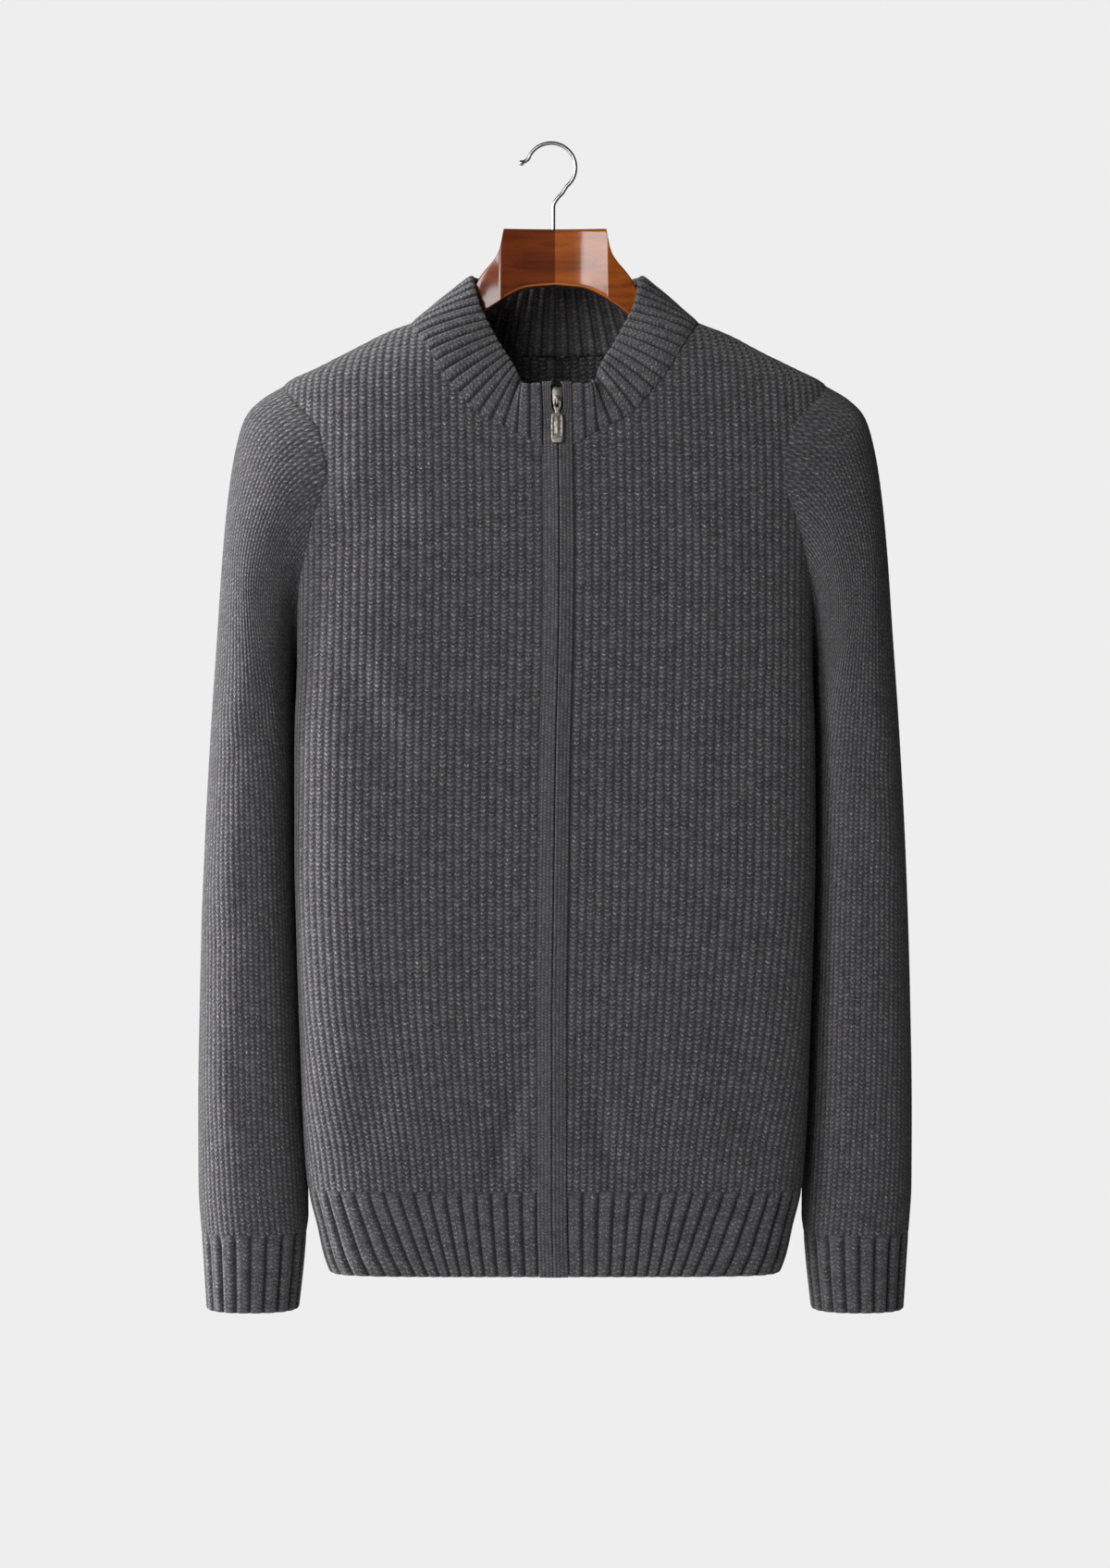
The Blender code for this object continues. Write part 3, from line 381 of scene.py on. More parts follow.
BODY = Table(
    "height half_width front back square",
    (-120, 84, 34, 41, 2.4),
    (-131.5, 106, 41, 50, 2.4),
    (-138.5, 124.3, 46, 56, 2.4),
    (-152, 150.3, 53, 63.5, 2.5),
    (-165.5, 177, 58.5, 69.5, 2.6),
    (-176.5, 198, 62.5, 72.5, 2.6),
    (-186, 203.5, 66, 74, 2.7),
    (-200, 204.5, 69.5, 75, 2.9),
    (-226, 202, 74, 77, 3.3),
    (-260, 195.5, 77.3, 78, 3.7),
    (-315, 190, 79.5, 78, 4.0),
    (-383, 188, 80, 78, 4.8),
    (-437, 189.5, 80, 78, 5.4),
    (-519, 189.7, 79, 77, 5.4),
    (-573, 188.4, 78.3, 76.4, 5.4),
    (-655, 185.6, 77, 75, 5.4),
    (-709, 183.6, 76, 74, 5.4),
    (-764, 179.6, 74.3, 72.4, 5.4),
    (-790, 173.5, 72.6, 70.6, 5.4),
    (-812, 168.6, 71, 69, 5.4),
    (-826, 163.5, 69.5, 67.5, 5.4),
)
ZIP_LINE = Table(
    "height across",
    (-826, -0.8),
    (-780, -2.0),
    (-640, -2.0),
    (-560, -1.0),
    (-440, 0.7),
    (-360, 2.6),
    (-300, 3.2),
    (-226, 2.4),
    (-178, 1.4),
)
FRONT_NECKLINE = Table(
    "across height",
    (35, -213.5),
    (54, -203),
    (68, -188.5),
    (82, -170.5),
    (93, -151.5),
    (101, -139),
    (106, -131.5),
)
BACK_NECKLINE = Table(
    "across height",
    (0, NECK_BACK),
    (30, -147.5),
    (60, -145),
    (80, -141.5),
    (95.5, -137),
    (106, -131.5),
)
ARMHOLE = Table(
    "height front back",
    (SHOULDER_TIP, 0, 0),
    (-179.5, 17, 19),
    (-190, 35, 38),
    (-215, 55, 57),
    (-250, 62, 63),
    (-290, 55, 57),
    (-330, 41, 43),
    (-355, 27, 28),
    (-374, 12, 12),
    (UNDERARM, 0, 0),
)
# How wide a column of stitches is at each height: the fabric draws in above the ribbed hem.
DRAW_IN = Table(
    "height wale",
    (-770, 5.0),
    (-735, 5.15),
    (-690, 5.45),
    (-620, 5.8),
    (-520, 6.0),
    (-120, 6.0),
)
SIDE_WIDE = 24              # width of the strip that swells, on the body and on the sleeve
SLEEVE_SIDE_WIDE = 22
# How far body and sleeve each swell towards the other, where they lie side by side.
SIDE_LIFT = Table(
    "height lift",
    (-763, 1.4),
    (-715, 1.15),
    (-630, 1.3),
    (-573, 1.0),
    (-470, 0.85),
    (UNDERARM, 0.9),
)
# Soft creases: from and to, across and height as seen from the piece's own side, with their width and depth.
FRONT_CREASES = {
    1: ((150, -395, 118, -470, 15, 2.2), (158, -300, 120, -262, 20, 2.0), (26, -700, 50, -778, 9, 3.4),
        (120, -640, 150, -745, 18, 2.0), (95, -240, 70, -330, 22, 1.4)),
    -1: ((16, -676, 54, -782, 8.5, 6.5), (150, -392, 112, -462, 15, 2.4), (156, -300, 112, -258, 20, 2.2),
         (112, -600, 140, -742, 18, 1.8), (60, -500, 44, -610, 24, 1.2)),
}
BACK_CREASES = {
    1: ((148, -395, 104, -480, 16, 2.6), (154, -300, 96, -262, 22, 2.4), (50, -690, 78, -778, 14, 2.2),
        (20, -420, 34, -600, 26, 1.4)),
    -1: ((150, -390, 110, -470, 16, 2.4), (152, -306, 100, -256, 22, 2.2), (78, -650, 104, -772, 15, 2.4),
         (18, -260, 40, -330, 22, 1.4)),
}


def squared(turn, square):
    """Reach of a rounded rectangle at an angle. square is 2 for an ellipse, and more for squarer corners."""
    return (np.abs(np.sin(turn)) ** square + np.abs(np.cos(turn)) ** square) ** (-1 / square)


def body_point(angle, height):
    """Outer face of the body at an angle round its section (0 at the centre front) and a height."""
    angle, height = np.broadcast_arrays(np.asarray(angle, float), np.asarray(height, float))
    reach = squared(angle, BODY.read("square", height))
    depth = np.where(np.cos(angle) > 0, BODY.read("front", height), BODY.read("back", height))
    across = BODY.read("half_width", height) * reach * np.sin(angle)
    return np.stack([across, -depth * reach * np.cos(angle), height], axis=-1)


def body_normal(angle, height):
    turn, rise = 0.004, 0.4
    around = body_point(angle + turn, height) - body_point(angle - turn, height)
    upward = body_point(angle, height + rise) - body_point(angle, height - rise)
    return unit(np.cross(around, upward))


def angle_across(across, height, back=False):
    """Angle of the body's point that lies that far to a side of the middle."""
    square = BODY.read("square", height)
    sine = np.clip(across / BODY.read("half_width", height), 0, 1)
    cosine = np.maximum(1 - sine ** square, 0) ** (1 / square)
    return np.arctan2(sine, -cosine if back else cosine)


def angle_deep(depth, height, back=False):
    """Angle of the body's point that lies that far before or behind the side seam."""
    square = BODY.read("square", height)
    cosine = np.clip(depth / BODY.read("back" if back else "front", height), 0, 1)
    sine = np.maximum(1 - cosine ** square, 0) ** (1 / square)
    return np.arctan2(sine, -cosine if back else cosine)


def zip_across(height, side):
    """The zip's line at a height, seen from one side: positive is away from the middle."""
    return side * ZIP_LINE.read("across", height)


def lengths_along(points):
    """Distance of each point from the first, along the line through them."""
    return np.concatenate([[0.0], np.cumsum(np.linalg.norm(np.diff(points, axis=0), axis=1))])


def lengths_across(grid):
    """The same for each row of a grid of points."""
    steps = np.linalg.norm(np.diff(grid, axis=1), axis=2)
    return np.concatenate([np.zeros((len(grid), 1)), np.cumsum(steps, axis=1)], axis=1)


def read_rows(at, known, values):
    """Reads each row of values at that row's own places."""
    return np.stack([np.interp(*row) for row in zip(at, known, values)])


def neckline(side, back=False):
    """Known points of the neckline on one side, as rows of across and height, from the middle outwards."""
    if back:
        return BACK_NECKLINE.rows
    return np.vstack([[zip_across(NECK_FRONT, side) + PANEL_EDGE, NECK_FRONT], FRONT_NECKLINE.rows])


def neckline_across(height, side, back=False):
    """How far out the neckline is at a height."""
    known = neckline(side, back)
    across = np.linspace(known[0, 0], known[-1, 0], 400)
    return np.interp(height, smooth_through(known[:, 0], known[:, 1], across), across)


def stitch_relief(wales, courses, slant=SLANT, fade=1.0):
    """Height of the fabric, -0.5 to 0.5, where wales and courses count columns and rows of stitches."""
    across = wales - np.floor(wales) - 0.5
    column = np.cos(math.pi * across) ** 1.2
    climb = courses - slant * np.abs(across) + 0.2 * np.sin(2.4 * np.floor(wales))
    bead = 0.5 + 0.5 * np.cos(2 * math.pi * (climb - 0.5))
    return (column * (0.80 + 0.20 * bead) - 0.5) * fade


def creases(across, height, marks):
    """Depth of soft creases, each a trough along its own line that fades out at both ends."""
    depth = np.zeros(np.shape(across))
    for from_x, from_z, to_x, to_z, width, deep in marks:
        run_x, run_z = to_x - from_x, to_z - from_z
        length = math.hypot(run_x, run_z)
        share = ((across - from_x) * run_x + (height - from_z) * run_z) / length ** 2
        aside = ((across - from_x) * run_z - (height - from_z) * run_x) / length
        bend = aside + 0.10 * length * (share - 0.5) ** 2
        ends = np.exp(-(np.clip(np.abs(share - 0.5) - 0.28, 0, None) / 0.24) ** 2)
        trough = np.exp(-(bend / width) ** 2) - 0.45 * np.exp(-((bend - 1.9 * width) / width) ** 2)
        depth = depth + deep * trough * ends
    return depth


def clamped_faces(first, last, rows, columns, start, outward):
    """Quads and triangles of a grid whose rows only run from column first to column last.

    Corners outside a row's range fall on its end, so the panel follows a slanting edge exactly.
    """
    column = np.arange(columns)[None, :]
    index = np.clip(column, first[:, None], last[:, None])
    number = start + np.arange(rows)[:, None] * columns + index
    corners = [number[:-1, :-1], number[:-1, 1:], number[1:, 1:], number[1:, :-1]]
    corners = np.stack(corners, axis=-1).reshape(-1, 4)
    if not outward:
        corners = corners[:, ::-1]
    faces = []
    for face in corners.tolist():
        kept = [face[k] for k in range(4) if face[k] != face[k - 1]]
        if len(kept) >= 3:
            faces.append(kept)
    return number, faces


def stitch_columns(first_wale, last_wale, steps, left_most=0):
    """Mesh columns that run along the columns of stitches, and are cut off where each row begins and ends.

    Gives the number of each row's first and last mesh column, and where each lies, in columns of stitches.
    """
    columns = math.ceil(last_wale.max() * steps) - left_most + 1
    lines = (left_most + np.arange(columns)) / steps
    snap = COLUMN_SNAP / steps
    first = np.clip(np.searchsorted(lines, first_wale + snap, side="right") - 1, 0, columns - 1)
    last = np.clip(np.searchsorted(lines, last_wale - snap, side="left"), first, columns - 1)
    wales = np.clip(lines[None, :], first_wale[:, None], last_wale[:, None])
    row = np.arange(len(first))
    wales[row, first] = first_wale
    wales[row, last] = np.where(last > first, last_wale, first_wale)
    return first, last, wales


def half_panel(side, back):
    """One half of the front or back: outer and inner points, the fabric's own coordinates, each row's ends.

    Its mesh columns run along the columns of stitches, and are cut off by the neckline, armhole and side.
    """
    top = FRONT_NECKLINE.rows[-1, 1] - 0.3
    height = np.concatenate([np.arange(HEM_SEAM + SEAM, SHOULDER_ROWS, ROW_HEIGHT),
                             np.arange(SHOULDER_ROWS, top, 0.95), [top]])
    rows = len(height)
    neck = NECK_BACK if back else NECK_FRONT
    inner_x = np.where(height < neck, 0.0 if back else zip_across(height, side) + PANEL_EDGE,
                       neckline_across(height, side, back) + 1.5 * SEAM)
    angle_in = angle_across(inner_x, height, back)
    deep = ARMHOLE.read("back" if back else "front", height)
    by_armhole = (height > UNDERARM) & (height < SHOULDER_TIP)
    angle_out = np.where(by_armhole, angle_deep(deep, height, back), math.pi / 2)
    dense = np.linspace(math.pi if back else 0.0, math.pi / 2, 320)
    run = lengths_across(body_point(dense[None, :], height[:, None]))
    way = -1 if back else 1
    rising = [way * dense] * rows
    start, end = read_rows(way * angle_in, rising, run), read_rows(way * angle_out, rising, run) - SEAM
    start = np.minimum(start, end - 0.01)
    wale = DRAW_IN.read("wale", height)
    middle = np.zeros(rows) if back else zip_across(height, side)
    first, last, wales = stitch_columns((start - middle) / wale, (end - middle) / wale,
                                        BACK_STEPS if back else COLUMN_STEPS)
    # from here on, each of these has a row for each mesh row
    height, start, end = height[:, None], start[:, None], end[:, None]
    along = wales * wale[:, None] + middle[:, None]
    angle = way * read_rows(along, run, rising)
    courses = np.broadcast_to((height - HEM_SEAM) / COURSE, wales.shape)
    face, normal = body_point(angle, height), body_normal(angle, height)
    edge = np.minimum(np.minimum(along - start, end - along), height - HEM_SEAM)
    if back:
        edge = np.where(height < neck, np.minimum(end - along, height - HEM_SEAM), edge)
    fade = np.clip(edge / SEAM_FADE, 0, 1)
    marks = (BACK_CREASES if back else FRONT_CREASES)[side]
    soft = creases(face[..., 0], height, marks) * np.clip(edge / CREASE_FADE, 0, 1)
    slow = SLOW_SWELL * np.sin(wales * 0.9 + 1.3 * side) * np.sin(courses * 0.071 + wales * 0.11)
    uneven = UNEVEN * np.sin(2.4 * wales)
    relief = PANEL_RELIEF * (0.5 + stitch_relief(side * wales, courses, fade=fade)) + (slow + uneven) * fade
    beside = np.exp(-((end - along) / SIDE_WIDE) ** 2) * np.clip((UNDERARM - height) / 5, 0, 1)
    lift = SIDE_LIFT.read("lift", height) * beside
    outer = face + normal * (relief - SUNK - soft + lift)[..., None]
    inner = face - normal * (CLOTH + soft)[..., None]
    for points in (outer, inner):
        points[..., 0] *= side
    uv = np.stack([side * wales, courses], axis=-1)
    return outer, inner, uv, first, last


INNER_ROWS, INNER_COLUMNS = 4, 8    # the smooth inner face has one mesh row and column for so many outside


def panel_mesh(halves):
    """Joins half panels, given as (outer, inner, uv, first, last, turned, open_edges), into one closed wall.

    Open edges get no rim: the first one of a half back below the neckline, or both of a sleeve.
    """
    points, faces, spots = [], [], []
    start = 0
    for outer, inner, uv, first, last, turned, open_edges in halves:
        rows, columns = outer.shape[:2]
        number, outer_faces = clamped_faces(first, last, rows, columns, start, outward=not turned)
        points.append(outer.reshape(-1, 3))
        spots.append(uv.reshape(-1, 2))
        faces += outer_faces
        row_set = np.unique(np.append(np.arange(0, rows, INNER_ROWS), rows - 1))
        picked = np.arange(0, columns, INNER_COLUMNS)
        picked = np.append(picked, columns - 1) if picked[-1] != columns - 1 else picked
        low = np.searchsorted(picked, first[row_set], side="right") - 1
        high = np.searchsorted(picked, last[row_set], side="left")
        high = np.maximum(high, low)
        grid = inner[row_set][:, picked].copy()
        spot = uv[row_set][:, picked].copy()
        span = np.arange(len(row_set))
        grid[span, low] = inner[row_set, first[row_set]]
        spot[span, low] = uv[row_set, first[row_set]]
        grid[span, high] = inner[row_set, last[row_set]]
        spot[span, high] = uv[row_set, last[row_set]]
        inner_start = start + rows * columns
        inner_number, inner_faces = clamped_faces(low, high, len(row_set), len(picked), inner_start,
                                                  outward=turned)
        points.append(grid.reshape(-1, 3))
        spots.append(spot.reshape(-1, 2))
        faces += inner_faces

        def add(loop, flip):
            kept = [loop[k] for k in range(len(loop)) if loop[k] != loop[k - 1]]
            if len(kept) >= 3:
                faces.append(kept[::-1] if flip else kept)

        for k in range(len(row_set) - 1):
            low_row, high_row = row_set[k], row_set[k + 1]
            if open_edges == "both":
                continue
            right = [int(number[r, last[r]]) for r in range(low_row, high_row + 1)]
            add(right + [int(inner_number[k + 1, high[k + 1]]), int(inner_number[k, high[k]])], turned)
            if not (open_edges == "middle" and first[high_row] == 0 and outer[high_row, 0, 0] == 0):
                left = [int(number[r, first[r]]) for r in range(low_row, high_row + 1)]
                add(left + [int(inner_number[k + 1, low[k + 1]]), int(inner_number[k, low[k]])], not turned)
        for row, inner_row, flip in ((0, 0, not turned), (rows - 1, len(row_set) - 1, turned)):
            for j in range(len(picked) - 1):
                run = [int(number[row, c]) for c in range(picked[j], picked[j + 1] + 1)]
                run = [run[i] for i in range(len(run)) if i == 0 or run[i] != run[i - 1]]
                pair = [int(inner_number[inner_row, j + 1]), int(inner_number[inner_row, j])]
                if pair[0] == pair[1] and len(run) == 1:
                    continue
                add(run + pair, not flip)
        start = inner_start + grid.shape[0] * grid.shape[1]
    points, spots = np.vstack(points), np.vstack(spots)
    used = np.unique(np.concatenate([np.asarray(face) for face in faces]))
    place = np.full(len(points), -1)
    place[used] = np.arange(len(used))
    faces = [[int(place[corner]) for corner in face] for face in faces]
    points, spots = points[used], spots[used]
    corner_uv = spots[np.concatenate([np.asarray(face) for face in faces])]
    return points, faces, corner_uv


def group_ends(tree, inputs, outputs):
    """Makes a node group's named inputs and outputs, and gives its inputs' outputs and its last node."""
    for name, kind, value in inputs:
        socket = tree.interface.new_socket(name=name, in_out="INPUT", socket_type="NodeSocket" + kind)
        if value is not None:
            socket.default_value = value
    for name, kind in outputs:
        tree.interface.new_socket(name=name, in_out="OUTPUT", socket_type="NodeSocket" + kind)
    return tree.nodes.new("NodeGroupInput").outputs, tree.nodes.new("NodeGroupOutput")


def knit_group():
    """Shader group for knitted fabric, in the fabric's own coordinates: columns across, rows up."""
    group = bpy.data.node_groups.new("marled_knit", "ShaderNodeTree")
    put, get = group_ends(
        group, (("Fabric", "Vector", None), ("Slant", "Float", SLANT), ("Furrow", "Float", 0.5)),
        (("Colour", "Color"), ("Height", "Float")))

    def calc(operation, *values, clamp=False):
        return maths(group, operation, *values, clamp=clamp)

    def centred(value, share):
        """A noise value moved to lie round nought, and scaled."""
        return calc("MULTIPLY", calc("SUBTRACT", value, 0.5), share)

    fabric = put["Fabric"]
    axes = node(group, "ShaderNodeSeparateXYZ", in_0=fabric).outputs
    u, v = axes["X"], axes["Y"]
    # the columns lean and the rows hitch a little, so that the knit isn't quite even
    wobble = node(group, "ShaderNodeTexNoise", in_Vector=fabric, in_Scale=0.8, in_Detail=2.0,
                  in_Roughness=0.6)
    shifts = node(group, "ShaderNodeSeparateColor", in_0=wobble.outputs["Color"]).outputs
    across = calc("SUBTRACT", calc("FRACT", calc("ADD", u, centred(shifts[0], 0.45))), 0.5)
    rounded = calc("MAXIMUM", calc("COSINE", calc("MULTIPLY", across, math.pi)), 0.0)
    column = calc("POWER", rounded, 1.4)
    out_of_step = calc("SINE", calc("MULTIPLY", calc("FLOOR", u), 2.4))
    hitch = calc("MULTIPLY_ADD", out_of_step, 0.2, centred(shifts[1], 0.8))
    leg = calc("MULTIPLY", calc("ABSOLUTE", across), put["Slant"])
    climb = calc("ADD", calc("SUBTRACT", v, leg), hitch)
    bead_turn = calc("MULTIPLY", calc("SUBTRACT", calc("FRACT", climb), 0.5), 2 * math.pi)
    bead = calc("MULTIPLY_ADD", calc("COSINE", bead_turn), 0.5, 0.5)
    stitch = node(group, "ShaderNodeCombineXYZ", in_X=calc("FLOOR", u), in_Y=calc("FLOOR", climb))
    chance = node(group, "ShaderNodeTexWhiteNoise", noise_dimensions="2D", in_Vector=stitch.outputs[0])

    def along_stitch(across_scale, up_scale, detail, roughness):
        """Noise drawn out along the slanting legs of the stitches."""
        place = node(group, "ShaderNodeCombineXYZ", in_X=calc("MULTIPLY", u, across_scale),
                     in_Y=calc("MULTIPLY", climb, up_scale))
        return noise(group, place.outputs[0], 1.0, detail, roughness)

    plies = along_stitch(3.2, 7.5, 3.0, 0.6)
    flecks = along_stitch(5.5, 3.1, 2.0, 0.55)
    fuzz = noise(group, fabric, 7.0, 3.0, 0.7)
    body = calc("MULTIPLY", column, calc("MULTIPLY_ADD", bead, 0.84, 0.16))
    height = calc("ADD", calc("ADD", body, centred(plies, 0.45)), centred(fuzz, 0.35))
    # dark and pale fibres spun together, with a breath of violet and olive, and painted shade down in the
    # furrows
    pale = calc("MULTIPLY", ranged(group, flecks, 0.54, 0.66, 0.0, 1.0), bead)
    dark = calc("MULTIPLY", ranged(group, flecks, 0.46, 0.30, 0.0, 1.0), 0.6)
    tint = noise(group, fabric, 2.3, 2.0)
    colour = mix_colour(group, chance.outputs["Value"], (0.086, 0.085, 0.092), (0.166, 0.165, 0.173))
    colour = mix_colour(group, pale, colour, (0.52, 0.515, 0.515))
    colour = mix_colour(group, dark, colour, (0.050, 0.050, 0.056))
    violet, olive = ranged(group, tint, 0.52, 0.66, 0.0, 0.8), ranged(group, tint, 0.47, 0.33, 0.0, 0.7)
    colour = mix_colour(group, violet, colour, (1.04, 0.93, 1.16), "MULTIPLY")
    colour = mix_colour(group, olive, colour, (1.06, 1.05, 0.88), "MULTIPLY")
    # Painted shade: the colour darkens in the furrows between the columns, by the furrow share, and the fuzz
    # noise varies the fibres' tone.
    painted_furrow_shade = calc("MULTIPLY", calc("SUBTRACT", 1.0, body), put["Furrow"])
    fibre_tone_and_furrow_shade = calc("MULTIPLY", calc("SUBTRACT", 1.0, painted_furrow_shade, clamp=True), calc("MULTIPLY_ADD", fuzz, 1.5, 0.25))
    feed(group, get, Colour=shaded(group, colour, fibre_tone_and_furrow_shade), Height=height)
    return group


KNIT_GROUP = knit_group()
GROOVE_SHADE = 0.18          # how much of the colour is left at the bottom of a rib's groove, under its painted shade


def knit_material(name, slant, furrow, bump_depth, level, rib_wales=0):
    """Marled knit that follows the piece's own knit coordinates, with painted shade in its furrows and
    between its ribs if it has any.
    """
    material, tree, shader = new_material(name)
    place = node(tree, "ShaderNodeUVMap", uv_map="knit").outputs[0]
    knit = node(tree, "ShaderNodeGroup", node_tree=KNIT_GROUP, in_Fabric=place, in_Slant=slant,
                in_Furrow=furrow)
    colour = mix_colour(tree, 1.0, knit.outputs["Colour"], (level, level, level), "MULTIPLY")
    if rib_wales:
        # Painted shade in the grooves between ribs, read from each rib's place across the band.
        axes = node(tree, "ShaderNodeSeparateXYZ", in_0=place).outputs
        turn = maths(tree, "MULTIPLY", axes["X"], math.pi / rib_wales)
        crest = maths(tree, "POWER", maths(tree, "ABSOLUTE", maths(tree, "SINE", turn)), 0.7)
        colour = shaded(tree, colour, maths(tree, "MULTIPLY_ADD", crest, 1 - GROOVE_SHADE, GROOVE_SHADE))
    feed(tree, shader, Base_Color=colour, Normal=bumped(tree, knit.outputs["Height"], 1.0, bump_depth),
         Roughness=0.95, Specular_IOR_Level=0.15, Sheen_Weight=0.25, Sheen_Roughness=0.5)
    return material


PANEL_KNIT = knit_material("charcoal_knit", SLANT, 0.68, 0.0013, level=0.97)


def make_panels():
    for side, word in ((1, "left"), (-1, "right")):
        half = half_panel(side, back=False)
        points, faces, corner_uv = panel_mesh([(*half, side < 0, "none")])
        front = piece_from("knit_front_" + word, points, faces, PANEL_KNIT, corner_uv)
        stand_in(front, "front_" + word)
    left, right = half_panel(1, back=True), half_panel(-1, back=True)
    points, faces, corner_uv = panel_mesh([(*left, True, "middle"), (*right, False, "middle")])
    back = piece_from("knit_back", points, faces, PANEL_KNIT, corner_uv)
    stand_in(back, "back")


make_panels()


# ------------------------------------------------------------------ sleeves
# Two tubes of the same knit with smaller columns, set into the armholes and narrowing to the wrist. They hang
# beside the body, filled out, with a few soft bends at the elbow.

SLEEVE_WALE = 4.4           # width of one column of stitches on a sleeve
SLEEVE_STEPS = 3            # mesh columns on each column of stitches
SLEEVE_ROWS = 300
SLEEVE_AROUND = 360         # points round each ring that the columns are read from
SLEEVE_SQUARE = 2.3
CAP_EASE = 30               # the armhole's shape fades into the tube's over this length
SLEEVE_RELIEF = 0.55
SLEEVE_SUNK = 0.40
CUFF_SEAM = -797.5
CUFF_BOTTOM = -854.6
SLEEVE = Table(
    "along outer_x outer_z inner_x inner_z half_depth",
    (0, 198, -176.5, 188.4, -383, 62),
    (6, 214.5, -186.5, 189.6, -384.5, 62),
    (12, 226.5, -199.5, 190.2, -386, 62),
    (18, 234.5, -226, 190.6, -388, 62),
    (25, 240, -262, 190.9, -392, 61),
    (32, 243.8, -302, 191.1, -400, 60),
    (40, 247.5, -357, 191.3, -424, 58),
    (50, 252.5, -430, 191.4, -470, 55),
    (62, 257.3, -520, 191.4, -540, 51),
    (75, 260.6, -620, 189.2, -630, 47),
    (87, 262, -710, 185.8, -715, 44),
    (94, 261.8, -762, 182.8, -763, 42),
    (100, 259.6, CUFF_SEAM, 182.6, CUFF_SEAM, 41),
)
ARC = 0.9                   # millimetres round a sleeve for each degree
# Creases on a sleeve: from and to, as degrees round from the outside by the front, and height.
SLEEVE_CREASES = {
    1: ((110, -430, 60, -470, 16, 2.0), (120, -500, 70, -560, 18, 1.8), (60, -690, 120, -760, 16, 1.6),
        (250, -450, 300, -500, 18, 2.2), (240, -620, 290, -690, 20, 2.0)),
    -1: ((120, -420, 64, -455, 16, 2.2), (110, -530, 60, -600, 20, 1.8), (70, -650, 120, -745, 16, 1.8),
         (246, -440, 296, -486, 18, 2.2), (236, -600, 290, -655, 20, 2.0)),
}


def spread(values, lengths, fractions):
    """Rows of values read at fractions of the whole length of their line."""
    at = np.asarray(fractions) * lengths[-1]
    return np.stack([np.interp(at, lengths, values[:, k]) for k in range(values.shape[1])], axis=1)


def armhole_half(count, back=False):
    """(angle, height) points of half an armhole, from the underarm up to the shoulder tip."""
    turn = np.linspace(0, 1, 240)
    height = UNDERARM + (SHOULDER_TIP - UNDERARM) * (1 - np.cos(math.pi * turn)) / 2
    depth = ARMHOLE.read("back" if back else "front", height)
    line = np.stack([angle_deep(depth, height, back), height], axis=1)
    line[[0, -1], 0] = math.pi / 2
    return spread(line, lengths_along(body_point(line[:, 0], line[:, 1])), np.linspace(0, 1, count + 1))


def grid_normals(grid, around=False):
    """Outward normals of a grid whose rows go up and whose columns go round towards the left side."""
    across = np.roll(grid, -1, axis=1) - np.roll(grid, 1, axis=1) if around else np.gradient(grid, axis=1)
    return unit(np.cross(across, np.gradient(grid, axis=0)))


def sleeve_rings(columns):
    """Outer face of the left sleeve, a row for each ring from armhole to cuff seam, and its normals."""
    turn = 2 * math.pi * np.arange(columns) / columns
    coarse = np.linspace(0, 100, 600)
    outside = np.stack([SLEEVE.read("outer_x", coarse), SLEEVE.read("outer_z", coarse)], axis=1)
    run = lengths_along(outside)
    along = np.interp(np.linspace(0, run[-1], SLEEVE_ROWS + 1), run, coarse)
    read = {name: SLEEVE.read(name, along)[:, None] for name in SLEEVE.names[1:]}
    reach = squared(turn, SLEEVE_SQUARE)
    outward, forward = reach * np.cos(turn), reach * np.sin(turn)
    across = (read["outer_x"] + read["inner_x"]) / 2 + (read["outer_x"] - read["inner_x"]) / 2 * outward
    height = (read["outer_z"] + read["inner_z"]) / 2 + (read["outer_z"] - read["inner_z"]) / 2 * outward
    rings = np.stack([across, -read["half_depth"] * forward, height], axis=-1)
    front, back = armhole_half(columns // 2)[::-1], armhole_half(columns // 2, back=True)
    line = np.vstack([front[:-1], back[:-1]])
    points, cap_normals = body_point(line[:, 0], line[:, 1]), body_normal(line[:, 0], line[:, 1])
    centre = np.array([0.0, 0.0, (UNDERARM + SHOULDER_TIP) / 2])
    cap = points - SEAM * unit((points - centre) * (0, 1, 1))
    fade = np.clip(1 - along / CAP_EASE, 0, 1)
    fade = (fade ** 2 * (3 - 2 * fade))[:, None, None]
    rings = rings + fade * (cap - rings[0])[None]
    rings[-1, :, 2] += SEAM
    normals = grid_normals(rings, around=True)
    share = ((1 + np.cos(turn)) / 2)[:, None]
    normals[0] = unit(share * cap_normals + (1 - share) * normals[0])
    normals[-1, :, 2] = 0
    return rings, unit(normals)


SLEEVE_KNIT = knit_material("sleeve_knit", SLANT, 0.64, 0.0011, level=0.95)


